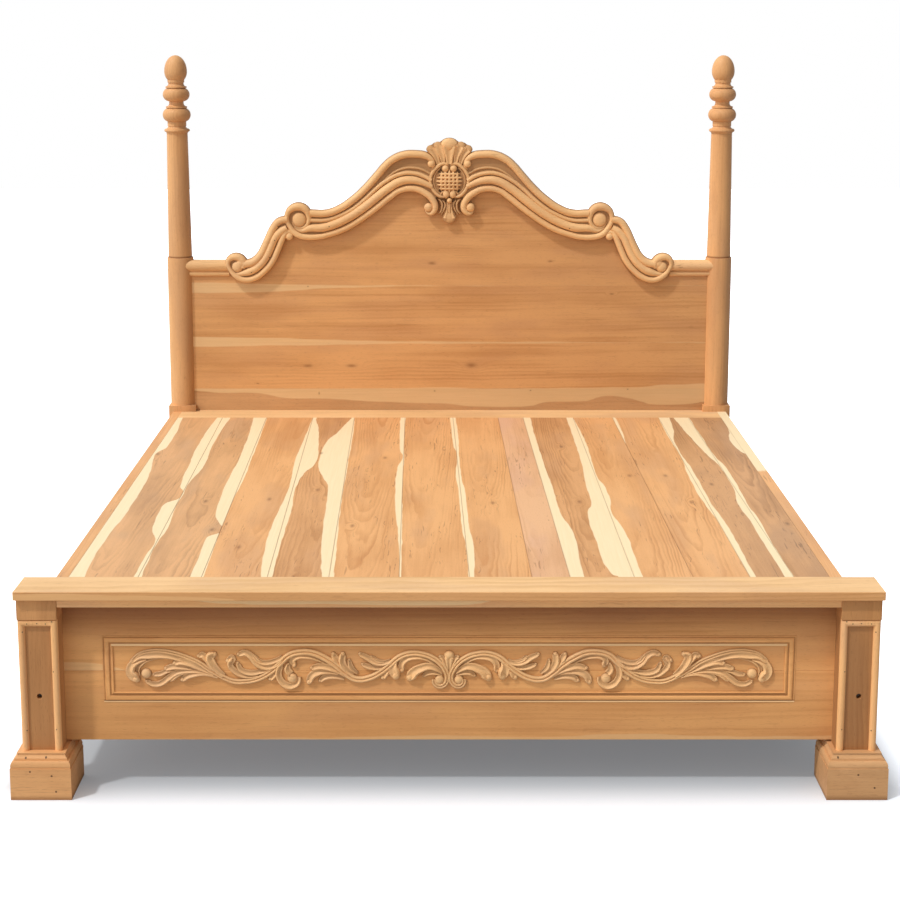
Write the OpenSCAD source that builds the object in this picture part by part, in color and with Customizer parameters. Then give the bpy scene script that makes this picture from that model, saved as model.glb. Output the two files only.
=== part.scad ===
// Poster bed in solid golden hardwood: panelled footboard with a carved frieze, plank deck,
// and a serpentine headboard with a moulded crest between two tall turned posts.
// Millimetres. Z is up, X is the width, the foot end faces -Y and the head end +Y.

/* [Overall] */
// Width over the two foot plinths
bed_width = 2042; // [1700:2:2200]
// Length from the face of the foot plinths to the back of the head posts
bed_length = 2270; // [2150:2:2500]
// Height of the sleeping deck above the floor
deck_height = 440; // [400:2:540]
// Full height of the head posts with their finials
head_post_height = 1674; // [1500:2:1900]

/* [Foot plinths] */
// Side of the square plinth block
plinth_side = 142; // [124:1:170]
// Height of the plain plinth block
plinth_block_h = 76; // [50:1:90]
// Height of the mouldings on top of the plinth block
plinth_mould_h = 34; // [24:1:50]

/* [Foot posts] */
// Side of the square foot post
foot_post_side = 93; // [80:1:110]
// Width of the half-round beads planted on the post face
bead_w = 17; // [10:0.5:22]
// Height of the plain block at the top of the foot post
post_block_h = 51; // [30:1:80]

/* [Footboard] */
// Height of the cap rail top above the deck
cap_rise = 60; // [45:1:90]
// Thickness of the cap rail
cap_t = 20; // [14:1:32]
// Depth of the cap rail, front to back
cap_depth = 116; // [106:1:140]
// Overhang of the cap rail in front of the foot posts
cap_front = 13; // [2:1:24]
// Overhang of the cap rail past the outside of the foot posts
cap_end = 4; // [0:1:20]
// Height of the frieze strip under the cap rail
frieze_h = 21; // [10:1:30]
// Thickness of the footboard panel
foot_panel_t = 25; // [18:1:34]
// Distance from the foot post face back to the footboard panel
foot_panel_recess = 55; // [40:1:60]
// Clear height between the floor and the footboard panel
foot_panel_clear = 115; // [90:1:150]
// Height of the seam between the two footboard boards above the floor
foot_seam = 286; // [240:1:340]

/* [Footboard moulding] */
// Distance from the foot posts to the outside of the moulding frame
frame_side = 91; // [50:1:140]
// Height of the moulding frame, outside
frame_h = 163; // [140:1:190]
// Height of the bottom of the moulding frame above the floor
frame_bottom = 209; // [180:1:250]
// Width of the moulding
frame_w = 20; // [14:1:26]
// Height of the moulding off the panel
frame_proud = 5; // [3:0.5:8]
// Depth of the carved scroll work
carve_depth = 8; // [5:0.5:12]

/* [Side rails] */
// Thickness of the side rails
rail_t = 30; // [24:1:38]
// Height of the side rails
rail_h = 280; // [240:2:320]
// Inset of the side rails from the outside of the foot posts
rail_inset = 29; // [22:1:40]
// Depth of the stub tenons on the rail ends
rail_tenon = 12; // [8:1:20]
// Height of the bed bolts above the floor
bolt_height = 241; // [200:1:300]
// Diameter of the bed bolt shank
bolt_d = 8; // [6:0.5:10]
// Diameter of the bolt hole in the posts
bolt_hole_d = 12; // [11:0.5:16]

/* [Deck] */
// Thickness of the deck planks
plank_t = 20; // [16:1:28]
// Width of the strip across the head end of the deck, in front of the head posts
head_strip_w = 94; // [70:1:130]
// Height of the cross bearers under the planks
bearer_h = 40; // [30:1:60]
// Width of the cross bearers
bearer_w = 60; // [40:1:80]
// Section of the ledgers on the side rails
ledger_side = 30; // [22:1:40]
// Height of the centre beam
beam_h = 60; // [40:1:80]
// Width of the centre beam and its legs
beam_w = 50; // [40:1:60]

/* [Head posts] */
// Side of the square base of the head posts
head_post_side = 94; // [84:1:110]
// Distance the head post stands out past the side rail
head_post_reveal = 15; // [6:1:30]
// Height of the square base above the deck
base_above_deck = 21; // [10:1:60]
// Diameter of the plain turned shaft
shaft_d = 90; // [80:1:100]
// Diameter at the foot of the tapered shaft
taper_d1 = 82; // [70:1:90]
// Diameter at the top of the tapered shaft
taper_d2 = 71; // [60:1:80]
// Diameter of the lower ring of the turning
ring_low_d = 95; // [84:1:104]
// Diameter of the upper ring of the turning
ring_high_d = 91; // [80:1:100]
// Diameter of the collar below the rings
collar_d = 87; // [76:1:96]
// Diameter of the egg finial
finial_d = 77; // [66:1:90]
// Diameter of the turned tenon in the head post
post_tenon_d = 40; // [30:1:50]

/* [Headboard] */
// Thickness of the headboard panel
head_panel_t = 26; // [20:1:30]
// Distance from the head post face back to the headboard panel
head_panel_recess = 27; // [22:1:34]
// Height of the top of the straight end rails above the floor
end_rail_top = 971; // [900:1:1060]
// Height of the crest of the panel above the end rails
crest_rise = 368; // [300:1:440]
// Height of the large reed of the end rails
reed_large = 37; // [30:1:44]
// Height of the small reed of the end rails
reed_small = 19; // [14:1:24]
// Thickness of the crest web on the face of the panel
crest_web_t = 16; // [12:1:22]
// Thickness of the bottom rail of the headboard
head_rail_t = 44; // [36:1:54]
// Height of the bottom rail of the headboard
head_rail_h = 120; // [90:1:160]

/* [Hidden] */
$fn = 64;

// Fit clearance on each side of a joint, and a cutting allowance
clear = 0.3;
cut = 1;

// Foot end
foot_x = (bed_width - plinth_side) / 2;
foot_y = -bed_length / 2 + plinth_side / 2;
foot_face_y = foot_y - foot_post_side / 2;
foot_back_y = foot_y + foot_post_side / 2;
foot_inner_x = foot_x - foot_post_side / 2;
plinth_h = plinth_block_h + plinth_mould_h;
cap_top = deck_height + cap_rise;
cap_bottom = cap_top - cap_t;
post_block_bottom = cap_bottom - post_block_h;
field_y = foot_face_y + bead_w / 2;
frieze_bottom = cap_bottom - frieze_h;
foot_panel_y = foot_face_y + foot_panel_recess;
foot_panel_back = foot_panel_y + foot_panel_t;
groove_depth = 15;
dowel_side = 40;
dowel_h = 40;
frieze_set = 1.5;

// Side rails
rail_outer_x = foot_x + foot_post_side / 2 - rail_inset;
rail_inner_x = rail_outer_x - rail_t;
rail_x = rail_outer_x - rail_t / 2;
rail_bottom = deck_height - rail_h;

// Head end
head_x = rail_outer_x + head_post_reveal - head_post_side / 2;
head_y = bed_length / 2 - head_post_side / 2;
head_face_y = head_y - head_post_side / 2;
head_inner_x = head_x - head_post_side / 2;
head_panel_y = head_face_y + head_panel_recess;
base_top = deck_height + base_above_deck;
shoulder = end_rail_top + 9;
turning_top_h = 266;
taper_top = head_post_height - turning_top_h;
finial_h = 82;
finial_bottom = head_post_height - finial_h;
post_tenon_h = 50;
finial_tenon_d = 22;
finial_tenon_h = 30;

// Turning on top of the tapered shaft: rings, necks, fillets and coves
ring_low_z = taper_top + 64;
ring_low_h = 49;
ring_high_z = taper_top + 133;
ring_high_h = 47;
neck_r = ring_high_d * 0.27;
neck_lip_r = finial_d * 0.37;
neck_lip_h = 10;
flare_r = ring_high_d * 0.395;
flare_lip_h = 4;
flare_cove_r = ring_high_d * 0.12;
fillet_r = ring_low_d * 0.335;
collar_lip_r = 5;
collar_bevel_h = 6;
head_groove_bottom = deck_height - plank_t - groove_depth;

// Bed bolts: heads sunk in the posts, nuts set into the rails
nut_d = 12;
nut_set = 40;
nut_cover = 6;
head_sink = 16;
bolt_past = 12;
foot_len = foot_back_y + nut_set + bolt_past - field_y - head_sink;
head_len = head_post_side + nut_set + bolt_past - head_sink;

// Deck
plank_bottom = deck_height - plank_t;
ledger_top = plank_bottom - bearer_h;
beam_bottom = ledger_top - beam_h;
strip_front_y = head_face_y - head_strip_w;
deck_half = rail_inner_x;
bearer_span = head_face_y - foot_back_y - bearer_w;
bearer_y = [for (i = [0 : 4]) foot_back_y + bearer_span * i / 4];

// Crest drawing, right hand side, as [distance from the centre line, height]. It was drawn for a
// clear width of 888 each side, end rails 971 high and a crest 368 above them, and is fitted to
// the sizes above.
draw_half = 888;
draw_top = 971;
draw_rise = 368;
crest_fit_x = head_inner_x / draw_half;
crest_fit_z = crest_rise / draw_rise;

function crest_pt(p) = [p[0] * crest_fit_x, end_rail_top + (p[1] - draw_top) * crest_fit_z];
function crest_path(pts) = [for (p = pts) crest_pt(p)];

low_centre = [733, 958];
low_r = 33;
low_bottom = [[758, 940], [738, 918], [706, 905], [671, 913], [638, 938], [611, 971], [593, 1009],
  [580, 1040], [567, 1062]];
low_ball = [552, 1057];
low_mid = [[727, 930], [693, 933], [660, 953], [633, 987], [616, 1022], [600, 1055], [580, 1075],
  [560, 1086]];
low_top = [[711, 962], [682, 967], [656, 987], [638, 1018], [622, 1053], [607, 1084], [587, 1108],
  [558, 1116]];

high_centre = [518, 1120];
high_r = 44;
high_bottom = [[549, 1089], [527, 1064], [498, 1055], [447, 1056], [422, 1062], [377, 1076],
  [333, 1098], [289, 1127], [245, 1160], [200, 1196], [174, 1214], [124, 1222], [84, 1207],
  [58, 1183], [50, 1158], [58, 1142]];
high_bottom_ball = [76, 1156];
high_mid = [[484, 1094], [433, 1089], [389, 1103], [344, 1125], [300, 1154], [256, 1189],
  [211, 1224], [164, 1249], [124, 1252], [84, 1241], [60, 1228]];
high_reed = [[480, 1113], [422, 1114], [377, 1129], [333, 1152], [289, 1187], [256, 1218],
  [222, 1245], [164, 1273], [124, 1275], [84, 1263], [62, 1250]];
high_top = [[480, 1136], [422, 1136], [377, 1152], [333, 1181], [289, 1220], [245, 1269],
  [220, 1298], [193, 1321], [154, 1337], [114, 1339], [84, 1335], [64, 1327], [54, 1313]];
high_top_ball = [70, 1303];

roll_bottom_r = 11;
roll_mid_r = 14;
roll_reed_r = 8.5;
roll_top_r = 12.5;

// Cartouche in the middle of the crest
oval_centre = [0, 1247];
oval_r = [71, 64];
ring_path = [[16, 1300], [34, 1300], [54, 1280], [63, 1250], [60, 1222], [44, 1200], [24, 1192]];
shell_lobes = [[0, 1306, 0, 1374, 9, 22], [14, 1306, 31, 1361, 7, 15], [25, 1304, 55, 1350, 6, 13]];
feathers = [[[32, 1190], [28, 1157], [35, 1137]], [[19, 1188], [18, 1152], [27, 1131]]];

drop_high = [14, 1291];
drop_low = [14, 1204];
stem_path = [[0, 1190], [0, 1160], [0, 1128]];
stem_bead = [0, 1180];
stem_tip = [0, 1122];

// Outline of the panel, under the mouldings
end_line = end_rail_top - reed_large / 2;
outline_right = crest_path([[755, 966], [733, 978], [711, 962], [682, 967], [656, 987], [638, 1018],
  [622, 1053], [607, 1084], [587, 1108], [558, 1118], [540, 1140], [518, 1148], [496, 1144],
  [480, 1136], [422, 1136], [377, 1152], [333, 1181], [289, 1220], [245, 1269], [220, 1298],
  [193, 1321], [154, 1337], [114, 1339], [84, 1335], [64, 1325], [30, 1318]]);
panel_half = head_inner_x + groove_depth - 2;
head_seams = [517, 682, 882, 1075];
panel_rise = end_line - head_groove_bottom;
head_seam_z = [for (z = head_seams) z <= end_line ? z : crest_pt([0, z])[1]];

// Deck plank seams as parts of the deck half width, at the foot end and at the head end
seams_foot = [-1, -0.815, -0.648, -0.475, -0.312, -0.128, 0.058, 0.222, 0.323, 0.490, 0.645,
  0.793, 0.908, 1];
seams_head = [-1, -0.835, -0.673, -0.502, -0.350, -0.163, 0.013, 0.179, 0.271, 0.455, 0.600,
  0.769, 0.879, 1];

// Carved scroll of the footboard, left half, in drawing units from the top left of the drawing.
// The wave and each leaf are [path, half width at its start, half width at its end].
unit = 0.1951;
carve_axis = 4161;
carve_mid = 399;
wave = [[[345, 300], [560, 172], [1000, 240], [1560, 545], [2000, 440], [2380, 180], [2800, 345],
  [3200, 505], [3560, 245], [3840, 205], [4110, 400], [4110, 590], [3982, 530]], 27, 24];
leaves = [
  [[[390, 505], [335, 400], [430, 270], [740, 245], [1100, 335]], 34, 14],
  [[[505, 480], [530, 560], [690, 575], [880, 440], [1330, 460]], 20, 20],
  [[[755, 388], [960, 370], [1190, 420]], 24, 16],
  [[[865, 320], [1040, 320], [1330, 455]], 26, 18],
  [[[950, 530], [1090, 455], [1380, 490]], 26, 18],
  [[[1155, 230], [1250, 260], [1390, 440]], 24, 22],
  [[[1345, 205], [1310, 310], [1450, 480]], 30, 24],
  [[[1500, 290], [1600, 430], [1860, 470]], 26, 20],
  [[[1635, 210], [1780, 225], [1950, 365], [2150, 270]], 24, 22],
  [[[2010, 520], [2110, 400]], 26, 14],
  [[[2140, 330], [2140, 540], [2290, 600], [2350, 490]], 26, 22],
  [[[2300, 350], [2330, 240], [2700, 335]], 26, 14],
  [[[2475, 560], [2580, 435], [2970, 460]], 30, 20],
  [[[2610, 540], [2760, 485], [3060, 510]], 24, 16],
  [[[2770, 205], [2850, 330]], 26, 18],
  [[[2885, 205], [2920, 390], [3000, 470]], 28, 22],
  [[[3090, 205], [3260, 300], [3460, 290]], 22, 20],
  [[[3120, 335], [3300, 380], [3400, 360]], 20, 14],
  [[[3520, 480], [3490, 380], [3510, 290]], 46, 20],
  [[[3590, 415], [3640, 270], [3990, 330]], 26, 14],
  [[[3690, 500], [3820, 385], [4100, 450]], 44, 16]
];
buttons = [[520, 450, 46], [2275, 510, 46], [4045, 530, 44]];
frame_z = frame_bottom + frame_h / 2;
frame_half = foot_inner_x - frame_side;
lip_h = frame_proud * 0.3;
bead_half = frame_w * 0.27;
bead_inset = frame_w * 0.48;
carve_fit_x = frame_half / 812.5;
carve_fit_z = frame_h / 163;

// Smooth path through a list of points, steps per span
function blend(a, b, c, d, t) = 0.5 * (2 * b + (c - a) * t + (2 * a - 5 * b + 4 * c - d) * t * t
  + (3 * b - a - 3 * c + d) * t * t * t);
function smooth(p, steps) = [
  for (i = [0 : len(p) - 2], k = [0 : steps - 1])
    blend(p[max(i - 1, 0)], p[i], p[i + 1], p[min(i + 2, len(p) - 1)], k / steps),
  p[len(p) - 1]
];
function heading(p, i) =
  let (d = p[min(i + 1, len(p) - 1)] - p[max(i - 1, 0)])
  d / norm(d);

// Half-round section, 5 flats on the front, with its flat back sunk into the web
half_round = [for (k = [0 : 5]) [cos(k * 36), -sin(k * 36)]];
function roll_section(r, sink) = concat([for (q = half_round) q * r], [[-r, sink], [r, sink]]);

// A roll swept along a path that lies in a plane of constant Y, at y = 0
module roll(path, r, sink, steps) {
  line = smooth(path, steps);
  sides = 8;
  stations = len(line);
  section = roll_section(r, sink);
  pts = [
    for (i = [0 : stations - 1], q = section)
      let (t = heading(line, i))
      [line[i][0] - t[1] * q[0], q[1], line[i][1] + t[0] * q[0]]
  ];
  skin = [
    for (i = [0 : stations - 2], j = [0 : sides - 1])
      let (a = i * sides + j, b = i * sides + (j + 1) % sides)
      [a, a + sides, b + sides, b]
  ];
  start = [[for (j = [0 : sides - 1]) j]];
  finish = [[for (j = [sides - 1 : -1 : 0]) (stations - 1) * sides + j]];
  polyhedron(points = pts, faces = concat(skin, start, finish), convexity = 6);
}

// Disc, rolled rim and centre button of a volute, facing -Y
module volute(centre, r, rim_r, button_r, back) {
  turns = 16;
  translate([centre[0], 0, centre[1]]) {
    rotate([-90, 0, 0]) cylinder(h = back, r = r - rim_r, $fn = 24);
    for (k = [0 : turns - 1]) {
      hull() {
        rotate([0, k * 360 / turns, 0]) translate([r - rim_r, 0, 0]) rim_bead(rim_r);
        rotate([0, (k + 1) * 360 / turns, 0]) translate([r - rim_r, 0, 0]) rim_bead(rim_r);
      }
    }
    sphere(r = button_r, $fn = 18);
  }
}

module rim_bead(r) {
  rotate([90, 0, 0]) cylinder(h = r * 0.9, r1 = r, r2 = r * 0.45, $fn = 8);
  rotate([-90, 0, 0]) cylinder(h = crest_web_t, r = r, $fn = 8);
}

module ball(p, r) {
  translate([p[0], -r * 0.25, p[1]]) sphere(r = r, $fn = 14);
}

module on_panel() {
  translate([0, head_panel_y - crest_web_t, 0]) children();
}

// Everything of a crest piece that would pass behind the panel face is trimmed off
module trim_at_panel() {
  difference() {
    children();
    translate([-head_x, head_panel_y, end_rail_top - 400])
      cube([2 * head_x, 100, 1000]);
  }
}

module lower_scroll() {
  web = crest_path(concat(low_top, [for (i = [len(low_bottom) - 1 : -1 : 0]) low_bottom[i]]));
  trim_at_panel() on_panel() union() {
    rotate([-90, 0, 0]) mirror([0, 1, 0]) linear_extrude(crest_web_t) polygon(web);
    roll(crest_path(low_bottom), roll_bottom_r, crest_web_t, 2);
    roll(crest_path(low_mid), roll_mid_r - 2, crest_web_t, 2);
    roll(crest_path(low_top), roll_top_r - 1, crest_web_t, 2);
    volute(crest_pt(low_centre), low_r, 8, 16, crest_web_t);
    ball(crest_pt(low_ball), 14);
  }
}

module upper_scroll() {
  web = crest_path(concat(
    [for (i = [0 : 9]) high_top[i]], [[66, 1322], [44, 1296], [44, 1196], [70, 1192]],
    [for (i = [12 : -1 : 0]) high_bottom[i]]
  ));
  trim_at_panel() on_panel() union() {
    rotate([-90, 0, 0]) mirror([0, 1, 0]) linear_extrude(crest_web_t) polygon(web);
    roll(crest_path(high_bottom), roll_bottom_r, crest_web_t, 2);
    roll(crest_path(high_mid), roll_mid_r, crest_web_t, 2);
    roll(crest_path(high_reed), roll_reed_r, crest_web_t, 2);
    roll(crest_path(high_top), roll_top_r, crest_web_t, 2);
    volute(crest_pt(high_centre), high_r, 10, 21, crest_web_t);
    ball(crest_pt(high_bottom_ball), 15);
    ball(crest_pt(high_top_ball), 13);
  }
}

// The upper scroll cut away where the oval of the cartouche stands
module seated_scroll() {
  difference() {
    upper_scroll();
    oval_plate(oval_r[0], oval_r[1], 60);
  }
}

// A flat oval, standing off the panel face by depth
module oval_plate(rx, rz, depth) {
  c = crest_pt(oval_centre);
  translate([0, head_panel_y, c[1]]) rotate([90, 0, 0]) scale([rx, rz, 1])
    cylinder(h = depth, r = 1, $fn = 40);
}

module lobe_end(p, r) {
  translate([p[0], 0, p[1]]) rotate([-90, 0, 0])
    cylinder(h = 2 * crest_web_t, r = r, center = true, $fn = 12);
}

// One lobe of the shell, a flat tapered flute between two small bars
module lobe(l) {
  a = crest_pt([l[0], l[1]]);
  b = crest_pt([l[2], l[3]]);
  hull() {
    lobe_end(a, l[4]);
    lobe_end(b, l[5]);
  }
  translate([b[0], -crest_web_t, b[1]]) scale([1, 0.35, 1]) sphere(r = l[5] * 0.8, $fn = 12);
}

module half_cartouche() {
  for (l = shell_lobes) lobe(l);
  roll(crest_path(ring_path), 9, crest_web_t, 2);
  ball(crest_pt(drop_high), 12);
  ball(crest_pt(drop_low), 13);
  for (f = feathers) roll(crest_path(f), 5, crest_web_t, 2);
}

module cartouche_body() {
  c = crest_pt(oval_centre);
  stem = crest_path(stem_path);
  tip = crest_pt(stem_tip);
  bead = crest_pt(stem_bead);
  oval_plate(oval_r[0], oval_r[1], crest_web_t + 2);
  on_panel() union() {
    half_cartouche();
    mirror([1, 0, 0]) half_cartouche();
    translate([0, 0, c[1]]) scale([46, 15, 44]) sphere(r = 1, $fn = 24);
    roll(stem, 6, crest_web_t, 1);
    ball(bead, 9);
    hull() {
      translate([0, 0, tip[1]]) rotate([90, 0, 0]) cylinder(h = 14, r1 = 20, r2 = 12, $fn = 14);
      translate([0, 0, tip[1]]) rotate([-90, 0, 0]) cylinder(h = crest_web_t, r = 20, $fn = 14);
    }
    for (k = [-1 : 1]) {
      hull() {
        translate([k * 20, -10, c[1] - 34]) rib_end();
        translate([k * 20, -10, c[1] + 34]) rib_end();
      }
      hull() {
        translate([-36, -10, c[1] + k * 20]) rib_end();
        translate([36, -10, c[1] + k * 20]) rib_end();
      }
    }
  }
}

module rib_end() {
  rotate([90, 0, 0]) cylinder(h = 6, r1 = 5, r2 = 2, $fn = 6);
}

module cartouche() {
  difference() {
    trim_at_panel() cartouche_body();
    seated_scroll();
    mirror([1, 0, 0]) seated_scroll();
  }
}

// Headboard boards, each a slice of the panel outline
module panel_outline() {
  left = [for (i = [len(outline_right) - 1 : -1 : 0]) [-outline_right[i][0], outline_right[i][1]]];
  polygon(concat(
    [[-panel_half, head_groove_bottom], [panel_half, head_groove_bottom], [panel_half, end_line],
      [crest_pt([765, 0])[0], end_line]],
    outline_right,
    left,
    [[-crest_pt([765, 0])[0], end_line], [-panel_half, end_line]]
  ));
}

module head_board(low, high) {
  translate([0, head_panel_y + head_panel_t, 0]) rotate([90, 0, 0]) linear_extrude(head_panel_t)
    intersection() {
      panel_outline();
      translate([-head_x, low]) square([2 * head_x, high - low]);
    }
}

module panel_groove(side) {
  translate([side > 0 ? head_inner_x - cut : -panel_half - clear, head_panel_y - clear,
    head_groove_bottom - clear])
    cube([panel_half + clear - head_inner_x + cut, head_panel_t + 2 * clear, panel_rise + clear]);
}

// Bottom rail of the headboard, tenoned into both posts and grooved for the panel
module head_bottom_rail() {
  y0 = head_panel_y + head_panel_t / 2 - head_rail_t / 2;
  z0 = plank_bottom - head_rail_h;
  difference() {
    union() {
      translate([-head_inner_x, y0, z0]) cube([2 * head_inner_x, head_rail_t, head_rail_h]);
      translate([-head_inner_x - 20, y0 + 12, z0 + 15])
        cube([2 * head_inner_x + 40, head_rail_t - 24, head_rail_h - 30 - groove_depth]);
    }
    translate([-head_inner_x - cut, head_panel_y - clear, head_groove_bottom])
      cube([2 * head_inner_x + 2 * cut, head_panel_t + 2 * clear, groove_depth + cut]);
  }
}

// Straight end rail: a large and a small reed on the face, rebated over the top of the panel
module end_rail() {
  r1 = reed_large / 2;
  r2 = reed_small / 2;
  x0 = crest_pt([low_centre[0] + 30, 0])[0];
  difference() {
    translate([x0, 0, 0]) rotate([90, 0, 90]) linear_extrude(head_x - x0) union() {
      difference() {
        union() {
          translate([head_panel_y, end_rail_top - r1]) circle(r1);
          translate([head_panel_y, end_rail_top - 2 * r1 - r2 + 1]) circle(r2);
        }
        translate([head_panel_y, end_rail_top - 3 * reed_large]) square([100, 4 * reed_large]);
      }
      translate([head_panel_y, end_line]) square([head_panel_t, end_rail_top - end_line]);
    }
    translate([head_x, head_y, 0]) cylinder(h = 2 * end_rail_top, d = shaft_d);
    translate([0, head_panel_y, 0]) rotate([90, 0, 0]) translate([0, 0, -head_panel_t - cut])
      linear_extrude(head_panel_t + 60 + cut) scroll_seat();
  }
}

// Plan of the lower volute, where the end rail stops against it
module scroll_seat() {
  c = crest_pt(low_centre);
  translate(c) circle(r = low_r, $fn = 48);
  translate([0, c[1] - 100]) square([c[0], 300]);
}

// Head post: square base, plain turned shaft, panel groove, mortises and socket
module head_post() {
  rail_y = head_panel_y + head_panel_t / 2 - head_rail_t / 2;
  difference() {
    union() {
      translate([head_x - head_post_side / 2, head_y - head_post_side / 2, 0])
        cube([head_post_side, head_post_side, base_top]);
      translate([head_x, head_y, base_top - cut]) cylinder(h = shoulder - base_top + cut, d = shaft_d);
    }
    panel_groove(1);
    translate([head_inner_x - cut, rail_y + 12 - clear, plank_bottom - head_rail_h + 15 - clear])
      cube([20 + 2 * cut, head_rail_t - 24 + 2 * clear, head_rail_h - 30 - groove_depth + 2 * clear]);
    translate([head_x, head_y, shoulder - post_tenon_h])
      cylinder(h = post_tenon_h + cut, d = post_tenon_d);
    rail_mortise(head_face_y - cut);
    translate([rail_x, head_y - head_post_side, bolt_height]) rotate([-90, 0, 0])
      cylinder(h = 2 * head_post_side, d = bolt_hole_d);
  }
}

// Mortise for the rail tenon, open at y
module rail_mortise(y) {
  translate([rail_x - rail_t / 4 - clear, y, rail_bottom + 30 - clear])
    cube([rail_t / 2 + 2 * clear, rail_tenon + cut + clear, rail_h - 60 + 2 * clear]);
}

// Tapered upper shaft with its collar and rings, turned in one with its tenons
module upper_post() {
  translate([head_x, head_y, 0]) difference() {
    rotate_extrude() intersection() {
      union() {
        tapered_profile();
        collar_profile();
        ring_profile(ring_low_d / 2, ring_low_z, ring_low_h / 2);
        ring_profile(ring_high_d / 2, ring_high_z, ring_high_h / 2);
        flare_profile(ring_low_z + ring_low_h / 2, neck_r, flare_cove_r);
        flare_profile(ring_high_z + ring_high_h / 2, neck_r + 1.5, flare_cove_r - 1.5);
        translate([0, finial_bottom - neck_lip_h]) square([neck_lip_r, neck_lip_h]);
      }
      translate([0, shoulder - 2 * post_tenon_h]) square([finial_d, head_post_height]);
    }
    translate([0, 0, finial_bottom - finial_tenon_h])
      cylinder(h = finial_tenon_h + cut, d = finial_tenon_d);
  }
}

// Half outline of the upper post: tenon and taper, with the neck that the rings stand on
module tapered_profile() {
  tenon_r = post_tenon_d / 2 - clear / 2;
  tenon_z = shoulder - post_tenon_h + clear;
  polygon([[0, tenon_z], [tenon_r, tenon_z], [tenon_r, shoulder], [taper_d1 / 2, shoulder],
    [taper_d2 / 2, taper_top], [0, taper_top]]);
  translate([0, taper_top - cut]) square([neck_r, finial_bottom - taper_top + cut]);
}

// Collar lip over a bevel, then a cove that runs in to the fillet under the lower ring
module collar_profile() {
  lip_x = collar_d / 2 - collar_lip_r;
  lip_z = taper_top + collar_bevel_h + collar_lip_r;
  cove_z = lip_z + collar_lip_r;
  fillet_top = ring_low_z - ring_low_h / 2 + cut;
  polygon([[0, taper_top], [taper_d2 / 2 - 0.5, taper_top], [lip_x, taper_top + collar_bevel_h],
    [lip_x, cove_z], [0, cove_z]]);
  translate([lip_x, lip_z]) circle(collar_lip_r);
  difference() {
    translate([0, cove_z - cut]) square([fillet_r + flare_cove_r * 0.8, flare_cove_r + cut]);
    translate([fillet_r - 2 + flare_cove_r, cove_z + flare_cove_r]) circle(flare_cove_r);
  }
  translate([0, cove_z + flare_cove_r - cut]) square([fillet_r, fillet_top - cove_z - flare_cove_r + cut]);
}

module ring_profile(r, z, half) {
  translate([0, z - half]) square([r - half, 2 * half]);
  translate([r - half, z]) circle(half);
}

// Fillet on top of a ring and the cove that runs from it up into the neck
module flare_profile(z, inner_r, cove_r) {
  translate([0, z - cut]) square([flare_r, flare_lip_h + cut]);
  difference() {
    translate([0, z + flare_lip_h - cut]) square([flare_r - 0.5, cove_r + cut]);
    translate([inner_r + cove_r, z + flare_lip_h + cove_r]) circle(cove_r);
  }
  translate([0, z]) square([inner_r, flare_lip_h + 2 * cove_r]);
}

// Egg finial, widest a third of the way up, with a dowel turned on its foot
module finial() {
  wide = finial_bottom + finial_h * 0.33;
  r = finial_d / 2;
  low = wide - finial_bottom;
  high = finial_h - low;
  translate([head_x, head_y, 0]) rotate_extrude() union() {
    intersection() {
      translate([0, wide]) scale([r, low * 1.55]) circle(1);
      translate([0, finial_bottom]) square([r, low]);
    }
    intersection() {
      translate([0, wide]) scale([r, high]) circle(1);
      translate([0, wide]) square([r, high]);
    }
    translate([0, finial_bottom - finial_tenon_h + 1])
      square([finial_tenon_d / 2 - clear / 2, finial_tenon_h]);
  }
}

// Profile of the plinth: block, groove, ovolo, fillet, cove and ledge, half of it in 2D
module plinth_profile() {
  b = plinth_side / 2;
  s = foot_post_side / 2;
  over = b - s;
  h = plinth_mould_h;
  z = plinth_block_h;
  ovolo = over * 0.28;
  cove_r = h * 0.42;
  union() {
    square([b, z]);
    square([b - 1.5, z + h * 0.13]);
    translate([0, z + h * 0.12]) square([b - 1 - ovolo, h * 0.42]);
    intersection() {
      translate([b - 1 - ovolo, z + h * 0.12]) scale([ovolo, h * 0.4]) circle(1);
      translate([0, z + h * 0.12]) square([b, h * 0.4]);
    }
    translate([0, z]) square([b - 2 - ovolo, h * 0.58]);
    difference() {
      translate([0, z]) square([b - 3 - ovolo, h]);
      translate([b - 3 - ovolo + cove_r * 0.55, z + h * 0.58 + cove_r]) circle(cove_r);
    }
    translate([0, z + h - 2]) square([s + over * 0.42, 2]);
  }
}

module plinth_slab() {
  translate([0, plinth_side, 0]) rotate([90, 0, 0]) linear_extrude(2 * plinth_side) union() {
    plinth_profile();
    mirror([1, 0]) plinth_profile();
  }
}

module plinth() {
  translate([foot_x, foot_y, 0]) difference() {
    intersection() {
      plinth_slab();
      rotate([0, 0, 90]) plinth_slab();
    }
    translate([-dowel_side / 2 - clear, -dowel_side / 2 - clear, plinth_h - dowel_h])
      cube([dowel_side + 2 * clear, dowel_side + 2 * clear, dowel_h + cut]);
  }
}

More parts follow.
